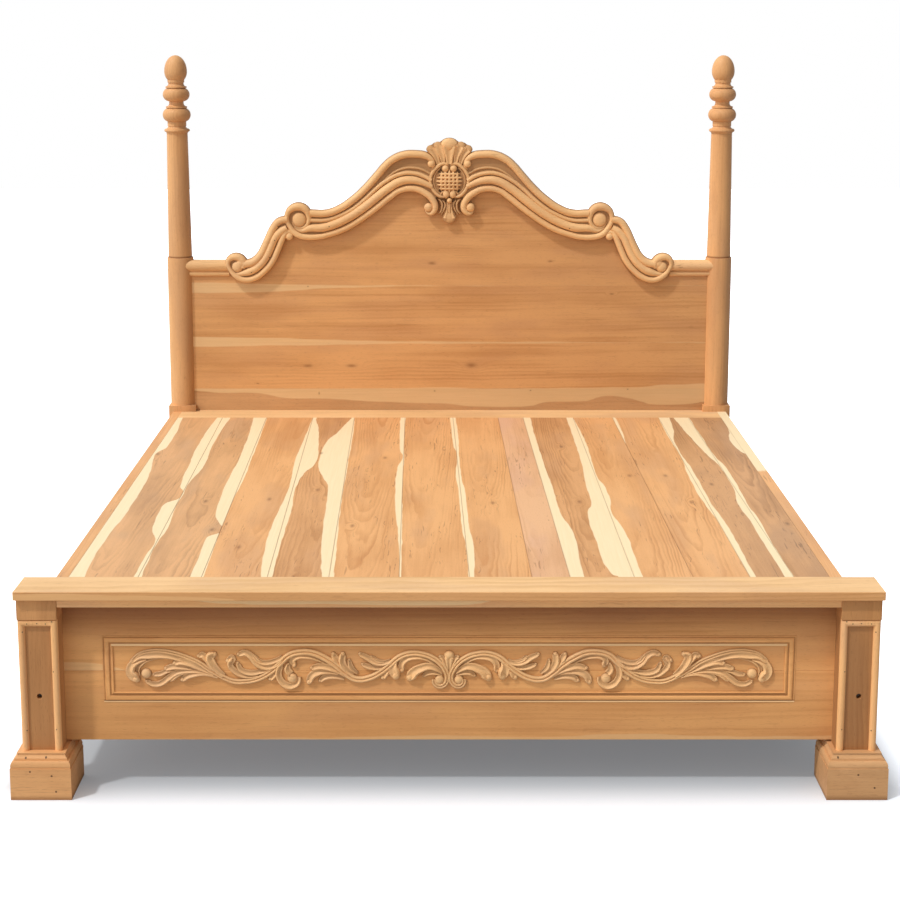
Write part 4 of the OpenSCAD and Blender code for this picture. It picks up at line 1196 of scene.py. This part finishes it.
@dataclass
class Cartouche:
    """Carved oval in the middle of the crest, with its shell above and its pendant leaf below."""

    back_y: float
    thickness: float
    middle_z: float = 1.247
    half_width: float = 0.066
    half_height: float = 0.062
    proud: float = 0.002
    rim: float = 0.013
    well: float = 0.009
    dome: tuple[float, float, float] = (0.047, 0.041, 0.015)
    pitch: tuple[float, float] = (0.0135, 0.0125)
    strips: tuple[int, ...] = (-2, -1, 0, 1, 2)
    strip_lift: float = 0.0045
    strip_widths: tuple[float, ...] = (0.0022, 0.0037, 0.0037, 0.0037, 0.0022)

    def build(self, brush: Brush) -> bpy.types.Object:
        """Model the cartouche.

        Args:
            brush: the brush on the web's face.

        Returns:
            The cartouche as one mesh.
        """
        sides = CARTOUCHE_HALF.model(brush, "cartouche_sides", self.thickness)
        apply_modifier(sides, "MIRROR", use_clip=False)
        middle = CARTOUCHE_MIDDLE.model(brush, "cartouche_middle", self.thickness)
        width, height, depth = self.dome
        dome = brush.ball((0, self.middle_z), width, depth / width, -self.well, height / width)
        return join("crest_cartouche", [middle, self._plate(), dome, self._lattice(brush), sides])

    def _plate(self) -> bpy.types.Object:
        """Turn the oval plate and sink a well into its front.

        Returns:
            The plate.
        """
        deselect_all()
        depth = self.thickness + self.proud
        bpy.ops.mesh.primitive_cylinder_add(vertices=72, radius=1, depth=depth, rotation=(math.pi / 2, 0, 0),
                                            location=(0, self.back_y - depth / 2, self.middle_z))
        plate = bpy.context.object
        plate.scale = (self.half_width, self.half_height, 1)
        bpy.ops.object.transform_apply(location=True, rotation=True, scale=True)
        for face in plate.data.polygons:
            face.select = face.normal.y < -0.9
        bpy.ops.object.mode_set(mode="EDIT")
        bpy.ops.mesh.select_mode(type="FACE")
        bpy.ops.mesh.inset(thickness=self.rim)
        bpy.ops.mesh.inset(thickness=0.002, depth=-self.well)
        bpy.ops.object.mode_set(mode="OBJECT")
        bpy.ops.object.shade_smooth_by_angle(angle=math.radians(35))
        return plate

    def _lattice(self, brush: Brush) -> bpy.types.Object:
        """Lay crossing strips over the dome in the well.

        Args:
            brush: the brush on the web's face.

        Returns:
            The strips.
        """
        section = brush.section("strip_section", Profile.ROUND.value)
        strokes = []
        for k in self.strips:
            strokes.append(self._strip(brush, section, k * self.pitch[0], upright=True))
            strokes.append(self._strip(brush, section, k * self.pitch[1], upright=False))
        lattice = brush.raise_up("cartouche_lattice", strokes)
        bpy.data.objects.remove(section)
        return lattice

    def _strip(self, brush: Brush, section: bpy.types.Object, place: float,
               upright: bool) -> bpy.types.Object:
        """Bend one strip over the dome.

        Args:
            brush: the brush on the web's face.
            section: cross-section of the strip.
            place: distance of the strip from the middle.
            upright: whether it runs upwards.

        Returns:
            The swept strip.
        """
        half, across = (self.dome[1], self.dome[0]) if upright else (self.dome[0], self.dome[1])
        reach = half * math.sqrt(1 - (place / across) ** 2) * 0.96
        path = []
        for i in range(9):
            t = math.sin((i / 4 - 1) * math.pi / 2) * reach
            fall = math.sqrt(max(0.0, 1 - (place / across) ** 2 - (t / half) ** 2))
            x, z = (place, t) if upright else (t, place)
            path.append((x, self.middle_z + z, self.dome[2] * fall - self.well + self.strip_lift))
        return brush.stroke(path, self.strip_widths, section)


@dataclass
class Crest:
    """Moulded crest of the headboard, swept rolls on a web that stands on the panel."""

    back_y: float
    thickness: float = 0.016
    nicks: tuple[Point, ...] = ((565, 48), (865, 48), (512, 232), (545, 130), (405, 320), (2270, 60))
    nick_length: float = 0.0026
    nick_width: float = 0.0022

    @property
    def face_y(self) -> float:
        """Place of the web's face."""
        return self.back_y - self.thickness

    def build(self) -> None:
        """Model the scrolls of both halves and the cartouche, and dress them."""
        brush = Brush(self.face_y, steps=6)
        finish = self._finish()
        for level, scroll in (("lower", LOWER_SCROLL), ("upper", UPPER_SCROLL)):
            right = scroll.model(brush, f"crest_{level}_right", self.thickness)
            left = mirrored_copy(right, f"crest_{level}_left")
            for side, piece in (("right", right), ("left", left)):
                finish_piece(piece, finish.material(f"{piece.name}_finish"),
                             [f"{level}_scroll_{side}"])
        cartouche = Cartouche(self.back_y, self.thickness).build(brush)
        finish_piece(cartouche, finish.material("cartouche_finish"), ["cartouche"])

    def _finish(self) -> Hardwood:
        """Paint shade into the hollows between the rolls, but not onto the crest's back, and mark its nicks.
        """
        back = self.back_y - 0.0005
        # Painted shade between the rolls, fading out before the web's back.
        painted_groove_shades = (Shade(Way.THROUGH, self.face_y - 0.0085, self.face_y + 0.0005, 0.6, back),
                   Shade(Way.THROUGH, self.face_y, self.face_y + 0.008, 0.4, back))
        holes = tuple(Spot(*HEAD_SHEET.on_headboard(x, y, self.back_y), self.nick_length, self.nick_width)
                      for x, y in self.nicks)
        return replace(CARVED_WOOD, holes=holes, shades=painted_groove_shades)


@dataclass
class Stage:
    """White floor with a painted shadow under the bed, soft light and the camera at the photograph's viewing
    angle.
    """

    camera_y: float = -4.998
    camera_z: float = 1.789
    camera_x: float = 0.002
    pitch: float = 9.747
    lens: float = 70.564
    shift_y: float = -0.14
    clip_end: float = 60.0
    floor_half: float = 14.0
    floor_bounce: str = "#C4C4C4"
    floor_tints: tuple[str, str] = ("#F6FAFF", "#F4F8FD")
    # Painted shadow under the bed: its tint and where it fades out; the floor's glow to the camera, stronger
    # beside the bed.
    shadow_tint: str = "#9FA2A5"
    floor_glow: float = 0.18
    glow_tint: str = "#F2F8FF"
    side_glow: float = 0.8
    bed_half: float = 1.0
    shadow_front: tuple[float, float] = (-1.0, -1.2)
    shadow_back: tuple[float, float] = (0.8, 1.1)
    shadow_fade: float = 0.15
    key_strength: float = 1.7
    key_angle: float = 4.0
    key_direction: tuple[float, float, float] = (-0.47, -0.35, 0.81)
    sky_level: float = 0.06
    sky_rise: float = 0.5
    sky_left: float = 1.4
    sky_front: float = 0.1

    def build(self) -> None:
        """Make the floor, the lights and the camera."""
        self._floor()
        self._light()
        self._camera()

    def _floor(self) -> None:
        """Lay a wide white floor that keeps the cast shadow, with a painted shadow under the bed and a glow
        seen by the camera.
        """
        deselect_all()
        bpy.ops.mesh.primitive_plane_add(size=2 * self.floor_half, location=(0, 0, -0.0005))
        floor = bpy.context.object
        floor.name = "studio_floor"
        bpy.ops.object.transform_apply(location=True, rotation=True, scale=True)
        g = Graph("studio_white")
        place = g.node("ShaderNodeTexCoord").outputs["Object"]
        seen = g.node("ShaderNodeLightPath").outputs["Is Camera Ray"]
        axes = g.node("ShaderNodeSeparateXYZ", {0: place})
        # Painted shadow: to the camera the floor is tinted grey under the bed and just in front of it;
        # beside the bed it glows more, which washes out the cast shadows there.
        beside = g.ease(g.math("ABSOLUTE", axes.outputs[0]), self.bed_half, self.bed_half + self.shadow_fade)
        open_floor = g.math("MAXIMUM", g.ease(axes.outputs[1], *self.shadow_front), beside)
        open_floor = g.math("MAXIMUM", open_floor, g.ease(axes.outputs[1], *self.shadow_back))
        tint = g.mix(g.noise(place, 0.6), *(srgb(code) for code in self.floor_tints))
        tint = g.mix(open_floor, srgb(self.shadow_tint), tint)
        g.put(g.shader.inputs["Base Color"], g.mix(seen, srgb(self.floor_bounce), tint))
        g.shader.inputs["Emission Color"].default_value = srgb(self.glow_tint)
        glow = g.math("MULTIPLY_ADD", beside, self.side_glow, self.floor_glow)
        g.put(g.shader.inputs["Emission Strength"], g.math("MULTIPLY", seen, glow))
        g.shader.inputs["Roughness"].default_value = 0.9
        g.shader.inputs["Specular IOR Level"].default_value = 0.1
        dress(floor, g.material)

    def _light(self) -> None:
        """Light the bed with a broad key from the upper left and a white sky."""
        data = bpy.data.lights.new("key", "SUN")
        data.energy = self.key_strength
        data.angle = math.radians(self.key_angle)
        key = bpy.data.objects.new("key", data)
        bpy.context.scene.collection.objects.link(key)
        key.rotation_euler = Vector(self.key_direction).to_track_quat("Z", "Y").to_euler()
        world = bpy.data.worlds.new("studio")
        bpy.context.scene.world = world
        world.use_nodes = True
        self._sky(Nodes(world.node_tree))

    def _sky(self, g: Nodes) -> None:
        """Brighten the sky upwards, to the left and to the front, and show it white to the camera.

        Args:
            g: the world's nodes.
        """
        seen = g.node("ShaderNodeLightPath").outputs
        direction = g.node("ShaderNodeSeparateXYZ", {0: g.node("ShaderNodeTexCoord").outputs["Generated"]})
        level: Value = self.sky_level
        for axis, sign, share in (("Z", 1, self.sky_rise), ("X", -1, self.sky_left),
                                  ("Y", -1, self.sky_front)):
            towards = g.math("MAXIMUM", g.math("MULTIPLY", direction.outputs[axis], sign), 0.0)
            level = g.math("MULTIPLY_ADD", towards, share, level)
        white = g.math("MAXIMUM", seen["Is Camera Ray"], seen["Is Glossy Ray"])
        sky = g.node("ShaderNodeBackground",
                     {"Color": (1, 1, 1, 1), "Strength": g.math("MAXIMUM", level, white)})
        g.node("ShaderNodeOutputWorld", {"Surface": sky.outputs[0]})

    def _camera(self) -> None:
        """Set the camera where the photograph was taken from."""
        data = bpy.data.cameras.new("camera")
        data.lens = self.lens
        data.sensor_width = 36
        data.shift_y = self.shift_y
        data.clip_end = self.clip_end
        camera = bpy.data.objects.new("camera", data)
        camera.location = (self.camera_x, self.camera_y, self.camera_z)
        camera.rotation_euler = (math.radians(90 - self.pitch), 0, 0)
        bpy.context.scene.collection.objects.link(camera)
        bpy.context.scene.camera = camera
        bpy.context.scene.view_settings.view_transform = "Standard"


@dataclass
class Deck:
    """The deck planks, with the sapwood that follows each seam as (sheet y, left x, right x)."""

    seams: tuple[tuple[Sheet, tuple[Row, ...]], ...] = (
        (LEFT_SHEET, ((75, GONE, 470), (185, GONE, 415), (212, GONE, 372), (230, GONE, 365),
                      (330, GONE, 330), (430, GONE, 270), (550, GONE, 180), (685, GONE, 110))),
        (LEFT_SHEET, ((75, 605, 660), (170, 540, 600), (260, 500, 560), (340, 470, 496), (372, 478, 484),
                      (395, 440, 470), (420, 400, 455), (500, 365, 425), (565, 370, 380), (620, 335, 355),
                      (685, 300, 330))),
        (LEFT_SHEET, ((75, 752, 805), (230, 700, 750), (330, 650, 710), (430, 615, 655), (485, 632, 636),
                      (510, 640, 615), (535, 580, 620), (600, 555, 600), (685, 520, 570))),
        (LEFT_SHEET, ((80, 985, 1000), (190, 940, 1012), (240, 920, 1005), (285, 912, 960),
                      (350, 895, 925), (430, 860, 910), (500, 830, 888), (600, 805, 860), (685, 795, 840))),
        (LEFT_SHEET, ((75, 1140, 1155), (130, 1085, 1150), (180, 1035, 1143), (240, 1015, 1130),
                      (300, 1030, 1122), (350, 1053, 1112), (450, 1040, 1100), (550, 1030, 1090),
                      (685, 1032, 1080))),
        (LEFT_SHEET, ((75, 1335, 1355), (200, 1335, 1347), (225, 1344, 1350), (270, 1322, 1346),
                      (420, 1318, 1344), (550, 1330, 1342), (685, 1336, 1342))),
        (RIGHT_SHEET, ((70, 42, 62), (180, 55, 75), (215, 68, 76), (280, 64, 82), (350, 75, 98),
                       (480, 85, 112), (550, 100, 130), (665, 112, 135))),
        (RIGHT_SHEET, ()),
        (RIGHT_SHEET, ((70, 328, 350), (200, 368, 387), (340, 412, 436), (420, 440, 460),
                       (490, 455, 505), (530, 478, 522), (600, 495, 535), (665, 505, 550))),
        (RIGHT_SHEET, ((70, 490, 515), (160, 520, 562), (240, 545, 588), (290, 555, 605),
                       (330, 563, 635), (380, 580, 655), (425, 568, 660), (470, 575, 690),
                       (540, 600, 728), (600, 620, 748), (665, 680, 775))),
        (RIGHT_SHEET, ((70, 700, 678), (100, 720, 695), (140, 740, 711), (200, 780, 720))),
        (RIGHT_SHEET, ((70, 847, 888), (120, 870, 905), (165, 895, 907), (210, 925, 930),
                       (270, 948, 972), (330, 975, 1005), (400, 1020, 1045), (480, 1078, 1100),
                       (600, 1145, 1165), (665, 1180, 1200))),
        (RIGHT_SHEET, ((70, 905, 962), (130, 955, 1002), (210, 1028, 1055), (270, 1088, 1108),
                       (340, 1128, 1150), (400, 1145, 1182), (460, 1188, 1226), (530, 1228, 1262),
                       (600, 1272, 1305), (665, 1312, 1347))),
        (RIGHT_SHEET, ((60, 1090, GONE), (120, 1115, GONE), (165, 1125, GONE), (195, 1155, GONE),
                       (215, 1195, GONE), (240, 1225, GONE), (265, 1240, GONE), (295, 1262, GONE),
                       (400, 1360, GONE), (665, 1560, GONE))))
    tones: dict[int, Tone] = field(default_factory=lambda: {
        1: Tone.GREYISH, 2: Tone.GREYISH, 4: Tone.TAWNY, 8: Tone.ROSY, 9: Tone.TAWNY, 12: Tone.DUSKY,
        13: Tone.DUSKY})
    knots: dict[int, tuple[tuple[Sheet, float, float], ...]] = field(default_factory=lambda: {
        1: ((LEFT_SHEET, 378, 213),), 2: ((LEFT_SHEET, 600, 505), (LEFT_SHEET, 572, 396)),
        3: ((LEFT_SHEET, 822, 388), (LEFT_SHEET, 706, 572)),
        4: ((LEFT_SHEET, 1012, 352), (LEFT_SHEET, 1022, 210)),
        5: ((LEFT_SHEET, 1275, 228), (LEFT_SHEET, 1150, 490)), 7: ((RIGHT_SHEET, 205, 392),),
        9: ((RIGHT_SHEET, 537, 388), (RIGHT_SHEET, 470, 180)), 10: ((RIGHT_SHEET, 730, 290),),
        11: ((RIGHT_SHEET, 868, 290), (RIGHT_SHEET, 966, 390)), 12: ((RIGHT_SHEET, 1044, 322),),
        13: ((RIGHT_SHEET, 1330, 470),)})
    knot_length: float = 0.016
    knot_width: float = 0.006

    def bands(self, number: int) -> tuple[Band, ...]:
        """Find the sapwood of one plank.

        Args:
            number: place of the plank from the left.

        Returns:
            Its bands, at most one along each edge.
        """
        low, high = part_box(f"plank_{number:02d}")
        found = []
        for seam, edge, column in ((number - 1, Edge.LOW, 2), (number, Edge.HIGH, 1)):
            sheet, rows = self.seams[seam]
            line = [sheet.on_deck(row[column], row[0], high.z) for row in rows if row[column] is not GONE]
            if line:
                found.append(Band(edge, tuple(line)))
        return tuple(found)

    def sides(self, number: int) -> tuple[Line, ...]:
        """Find the seams along both long sides of a plank.

        Args:
            number: place of the plank from the left.

        Returns:
            A line along each side.
        """
        corners = [vertex.co for vertex in frame["nodes"][f"plank_{number:02d}"].data.vertices]
        ends = [(y, [c.x for c in corners if abs(c.y - y) < 0.001])
                for y in (min(c.y for c in corners), max(c.y for c in corners))]
        (y0, front), (y1, back) = ends
        found = []
        for choose in (min, max):
            slope = (choose(back) - choose(front)) / (y1 - y0)
            found.append(Line(choose(front) - slope * y0, slope, half=0.0022, share=0.32))
        return tuple(found)

    def finish(self, number: int, seed: float) -> Hardwood:
        """Choose the finish of one plank.

        Args:
            number: place of the plank from the left.
            seed: start of its pattern.

        Returns:
            The finish.
        """
        low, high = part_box(f"plank_{number:02d}")
        middle = (low.x + high.x) / 2
        spots = [Spot(*sheet.on_deck(x, y, high.z), self.knot_length, self.knot_width)
                 for sheet, x, y in self.knots.get(number, ())]
        return Hardwood(self.tones.get(number, Tone.GOLDEN), Grain.LENGTH, seed, figure=1.7, clouds=1.9,
                        streaks=0.6, flecks=0.5, pith_across=middle + 0.03 * math.sin(seed),
                        pith_depth=high.z - 0.06, lean=0.03, bands=self.bands(number), knots=tuple(spots),
                        lines=self.sides(number))


@dataclass
class Headboard:
    """The boards of the headboard, with the paler wood along each seam as (sheet x, top y, bottom y)."""

    face_y: float
    seams: tuple[tuple[Row, ...], ...] = (
        ((0, 1026, 1030), (190, 1040, 1050), (400, 1035, 1052), (500, 1040, 1065), (620, 1045, 1086),
         (760, 1032, 1088), (900, 1028, 1091), (1050, 1022, 1102), (1300, 1022, 1114), (1568, 1018, 1122),
         (1700, 1022, 1135), (1900, 1028, 1139), (2050, 1023, 1132), (2170, 1021, 1106),
         (2370, 1019, 1103), (2520, 1018, 1072), (2620, 1018, 1080), (2720, 1016, 1106),
         (2830, 1006, 1124), (3070, 996, 1105)),
        ((60, 713, 776), (400, 718, 768), (800, 727, 763), (1100, 737, 758), (1568, 742, 755),
         (2170, 743, 750), (2400, 746, 747), (3070, 745, 747)),
        ((60, 386, 450), (300, 390, 447), (550, 398, 440), (850, 402, 421), (1215, 404, 408),
         (1400, 406, 406), (3070, 406, 406)))
    knots: dict[int, tuple[tuple[float, float, float, float], ...]] = field(default_factory=lambda: {
        4: ((1465, 272, 22, 9), (2163, 260, 14, 6)),
        3: ((2528, 455, 12, 5), (732, 410, 5, 4)),
        2: ((725, 888, 26, 9), (985, 888, 30, 10), (1698, 885, 30, 14), (425, 995, 9, 3)),
        1: ((2052, 1038, 5, 4), (2632, 1030, 5, 4), (790, 1055, 4, 8), (1480, 1041, 5, 4))})

    def finish(self, number: int, seed: float) -> Hardwood:
        """Choose the finish of one board.

        Args:
            number: place of the board from the bottom.
            seed: start of its pattern.

        Returns:
            The finish.
        """
        bands = []
        for seam, edge, column in ((number - 2, Edge.LOW, 1), (number - 1, Edge.HIGH, 2)):
            if 0 <= seam < len(self.seams):
                bands.append(Band(edge, tuple(HEAD_SHEET.on_headboard(row[0], row[column], self.face_y)
                                              for row in self.seams[seam])))
        spots = []
        for x, y, length, width in self.knots.get(number, ()):
            u, v = HEAD_SHEET.on_headboard(x, y, self.face_y)
            spots.append(Spot(u, v, length * HEAD_UNIT, width * HEAD_UNIT))
        return Hardwood(Tone.PLINTH if number == 1 else Tone.PANEL, Grain.WIDTH, seed, ring_gap=0.013,
                        pith_depth=1.0, lean=0.016, wander=0.022, figure=0.9, streaks=1.3, clouds=1.7,
                        flecks=0.15, sap=CREAM, sap_share=0.62, sap_edge=0.002, bands=tuple(bands),
                        knots=tuple(spots), shades=(Shade(Way.ALONG, -0.45, 0.75, 0.2),))


PLINTH_HOLE = 0.0028
PLINTH_HOLES = {
    "plinth_left": ((-0.974, 0.0695), (-0.924, 0.059), (-0.915, 0.0205), (-0.985, 0.099), (-0.938, 0.1)),
    "plinth_right": ((0.951, 0.062), (0.905, 0.1), (0.99, 0.03))}
BEAD_HOLE = 0.0018
BEAD_HOLES = ((0.973, 0.42), (0.95, 0.421), (0.93, 0.42), (0.916, 0.425), (0.916, 0.304), (0.914, 0.163),
              (0.983, 0.16), (0.984, 0.40))


@dataclass
class Boards:
    """The boards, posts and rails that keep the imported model's own shape."""

    nodes: dict[str, bpy.types.Object]
    worn_edge: float = 0.0012
    fine_edge: float = 0.0004
    most_faces_eased: int = 1300

    def dress_all(self) -> None:
        """Give every node its finish and a small rounded edge."""
        for name in sorted(self.nodes):
            node = self.nodes[name]
            finish = self.finish(name)
            dress(node, finish.material(name + "_finish"))
            if len(node.data.polygons) <= self.most_faces_eased and not isinstance(finish, Steel):
                self._ease_edges(node, self.fine_edge if name.startswith("head_board") else self.worn_edge)
            log.info("%s dressed", name)

    def _ease_edges(self, node: bpy.types.Object, width: float) -> None:
        """Merge a node's loose faces and round its sharp edges by modifiers.

        Args:
            node: the node.
            width: width of the rounding.
        """
        weld = node.modifiers.new("Weld", "WELD")
        weld.merge_threshold = 0.00001
        bevel = node.modifiers.new("Bevel", "BEVEL")
        bevel.width = width
        bevel.segments = 2
        bevel.limit_method = "ANGLE"
        bevel.angle_limit = math.radians(40)
        bevel.use_clamp_overlap = True
        node.modifiers.new("Normals", "WEIGHTED_NORMAL")

    def finish(self, name: str) -> Union[Hardwood, Steel]:
        """Choose the finish of a node.

        Args:
            name: name of the node.

        Returns:
            The finish.
        """
        seed = (sum((i + 1) * ord(c) for i, c in enumerate(name)) * 0.618) % 37
        if name in ("bed_bolts", "barrel_nuts"):
            return Steel()
        if name.startswith("plank"):
            return Deck().finish(int(name[-2:]), seed)
        if name.startswith("head_board"):
            return Headboard(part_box("head_board_2")[0].y).finish(int(name[-1]), seed)
        if name.startswith(("foot_panel", "cap_rail", "frieze", "plinth", "foot_post", "post_beads")):
            return self._footboard_finish(name, seed)
        if name == "head_bottom_rail":
            return self._panel_finish(name, seed)
        if name == "head_strip":
            return Hardwood(Tone.HONEY, Grain.WIDTH_FLAT, seed, ring_gap=0.009, flecks=0.2, streaks=0.8)
        if name.startswith(("bearer", "end_rail", "foot_carving", "panel_moulding")):
            return Hardwood(Tone.CARVED, Grain.WIDTH, seed)
        if name == "side_rail_right":
            return Hardwood(Tone.GOLDEN, Grain.LENGTH_UPRIGHT, seed, bands=self._rail_bands(name))
        if name.startswith(("side_rail", "ledger", "centre_beam")):
            return Hardwood(Tone.GOLDEN, Grain.LENGTH, seed)
        return Hardwood(Tone.GOLDEN, Grain.HEIGHT, seed, ring_gap=0.009, figure=0.8, flecks=0.12,
                        shades=self._shades(name))

    def _footboard_finish(self, name: str, seed: float) -> Hardwood:
        """Choose the finish of a board or post of the footboard.

        Args:
            name: name of the node.
            seed: start of its pattern.

        Returns:
            The finish.
        """
        left = name.endswith("left")
        if name.startswith("foot_panel"):
            return self._panel_finish(name, seed)
        if name.startswith("plinth"):
            return Hardwood(Tone.GOLDEN if left else Tone.PLINTH, Grain.WIDTH, seed, lean=0.09, flecks=0.25,
                            streaks=0.6, holes=self._nail_holes(name), shades=self._shades(name))
        if name.startswith("foot_post"):
            return Hardwood(Tone.FIELD if left else Tone.UMBER, Grain.HEIGHT, seed, ring_gap=0.008,
                            lean=0.05, figure=1.3, streaks=1.4, flecks=0.15, clouds=1.6,
                            shades=self._shades(name))
        if name.startswith("post_beads"):
            return Hardwood(Tone.AMBER, Grain.HEIGHT, seed, flecks=0.2, holes=self._nail_holes(name))
        tone = Tone.HONEY if name == "cap_rail" else Tone.AMBER
        return Hardwood(tone, Grain.WIDTH, seed, ring_gap=0.009, pith_depth=-1.2, flecks=0.2, streaks=0.8,
                        sap=CREAM, sap_share=0.95, bands=self._front_bands(name), shades=self._shades(name))

    def _panel_finish(self, name: str, seed: float) -> Hardwood:
        """Choose the finish of a broad board with a plain, flat figure."""
        return Hardwood(Tone.FRONT, Grain.WIDTH, seed, ring_gap=0.012, pith_depth=-1.12, lean=0.018,
                        wander=0.02, figure=0.9, streaks=1.3, clouds=1.5, flecks=0.12, sap=CREAM,
                        sap_share=0.4, bands=self._front_bands(name), shades=self._shades(name))

    def _rail_bands(self, name: str) -> tuple[Band, ...]:
        """Place the sapwood along the top of a side rail, as (length, height over the top)."""
        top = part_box(name)[1].z
        line = ((-1.1, 0.02), (0.05, 0.012), (0.2, 0.001), (0.35, -0.012), (0.6, -0.024), (0.85, -0.016),
                (1.1, -0.026))
        return (Band(Edge.HIGH, tuple((y, top + rise) for y, rise in line)),)

    def _front_bands(self, name: str) -> tuple[Band, ...]:
        """Place the sapwood wedges of the footboard's boards, as (width, part of the board's height).

        Args:
            name: name of the board.

        Returns:
            Its bands.
        """
        drawn = {
            "cap_rail": (Edge.LOW, ((-1.02, 0.9), (-0.9, 0.86), (-0.77, 0.7), (-0.63, 0.5), (-0.5, 0.2),
                                    (-0.46, -0.2), (1.02, -0.2))),
            "frieze_strip": (Edge.HIGH, ((-1.02, 1.2), (-0.65, 1.0), (-0.49, 0.45), (-0.28, 0.35),
                                         (0.0, 0.25), (0.09, 0.6), (0.14, 1.1), (1.02, 1.2))),
            "foot_panel_upper": (Edge.LOW, ((-0.96, 0.13), (-0.86, 0.12), (-0.79, 0.06), (-0.7, -0.02),
                                            (0.7, -0.04), (0.96, 0.03))),
            "foot_panel_lower": (Edge.LOW, ((-0.96, 0.0), (-0.3, 0.03), (0.0, 0.06), (0.2, 0.04),
                                            (0.4, 0.09), (0.7, 0.05), (0.96, 0.08)))}
        if name not in drawn:
            return ()
        low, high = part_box(name)
        edge, line = drawn[name]
        return (Band(edge, tuple((x, low.z + share * (high.z - low.z)) for x, share in line)),)

    def _shades(self, name: str) -> tuple[Shade, ...]:
        """Paint shade on the cap rail's front, the upper panel's top, the plinths' feet, the foot posts'
        fields and the round posts' far sides; darken the lower panel below the moulding and ring the upper
        posts' joint dark.

        Args:
            name: name of the board.

        Returns:
            Its shades.
        """
        low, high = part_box(name)
        if name == "cap_rail":
            # Painted shade: the cap rail's front is darker than its top.
            return (Shade(Way.THROUGH, low.y + 0.003, low.y + 0.0005, 0.5, tint=CAP_SHADED),)
        if name == "foot_panel_upper":
            # Painted shade under the cap rail, darkest at the panel's top.
            return (Shade(Way.ACROSS, high.z - 0.12, high.z - 0.01, 0.74),)
        if name == "foot_panel_lower":
            frame_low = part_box("panel_moulding")[0].z
            return (Shade(Way.ACROSS, frame_low + 0.04, frame_low, 0.18),)
        if name.startswith("plinth"):
            # Painted shade at the plinths' feet, where they meet the floor.
            return (Shade(Way.ACROSS, low.z + 0.014, low.z + 0.001, 0.5),)
        if name.startswith("foot_post"):
            # Painted shade: each foot post is darker below its top block, in the sunk field.
            bead_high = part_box("post_beads_left")[1].z
            return (Shade(Way.ALONG, bead_high + 0.001, bead_high - 0.001, 0.18),)
        if name.startswith(("head_post", "upper_post", "finial")):
            # Painted shade on the side of each round post that faces away from the key light.
            painted_far_side_shade = Shade(Way.ACROSS, (low.x + high.x) / 2, high.x, 0.4)
            if not name.startswith("upper_post"):
                return (painted_far_side_shade,)
            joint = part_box("head_post_left")[1].z
            return (painted_far_side_shade, Shade(Way.ALONG, joint + 0.008, joint + 0.004, 0.6))
        return ()

    def _nail_holes(self, name: str) -> tuple[Spot, ...]:
        """Place the nail holes of a plinth or of the beads, as (width, height) on the front.

        Args:
            name: name of the node.

        Returns:
            The holes, along and across the node's grain.
        """
        if name.startswith("plinth"):
            return tuple(Spot(x, z, PLINTH_HOLE, PLINTH_HOLE) for x, z in PLINTH_HOLES[name])
        side = -1 if name.endswith("left") else 1
        return tuple(Spot(z, side * x, BEAD_HOLE, BEAD_HOLE) for x, z in BEAD_HOLES)


def main() -> None:
    """Stage and dress the bed."""
    logging.basicConfig(level=logging.INFO, format="%(message)s")
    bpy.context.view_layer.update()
    Stage().build()
    Boards(frame["nodes"]).dress_all()
    panel_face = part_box("foot_panel_upper")[0].y
    frame_low, frame_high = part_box("panel_moulding")
    FootCarving(panel_face, (frame_low.z + frame_high.z) / 2).build()
    PanelFrame(frame_low, frame_high, panel_face).build()
    Crest(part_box("head_board_2")[0].y).build()


if __name__ == "__main__":
    main()
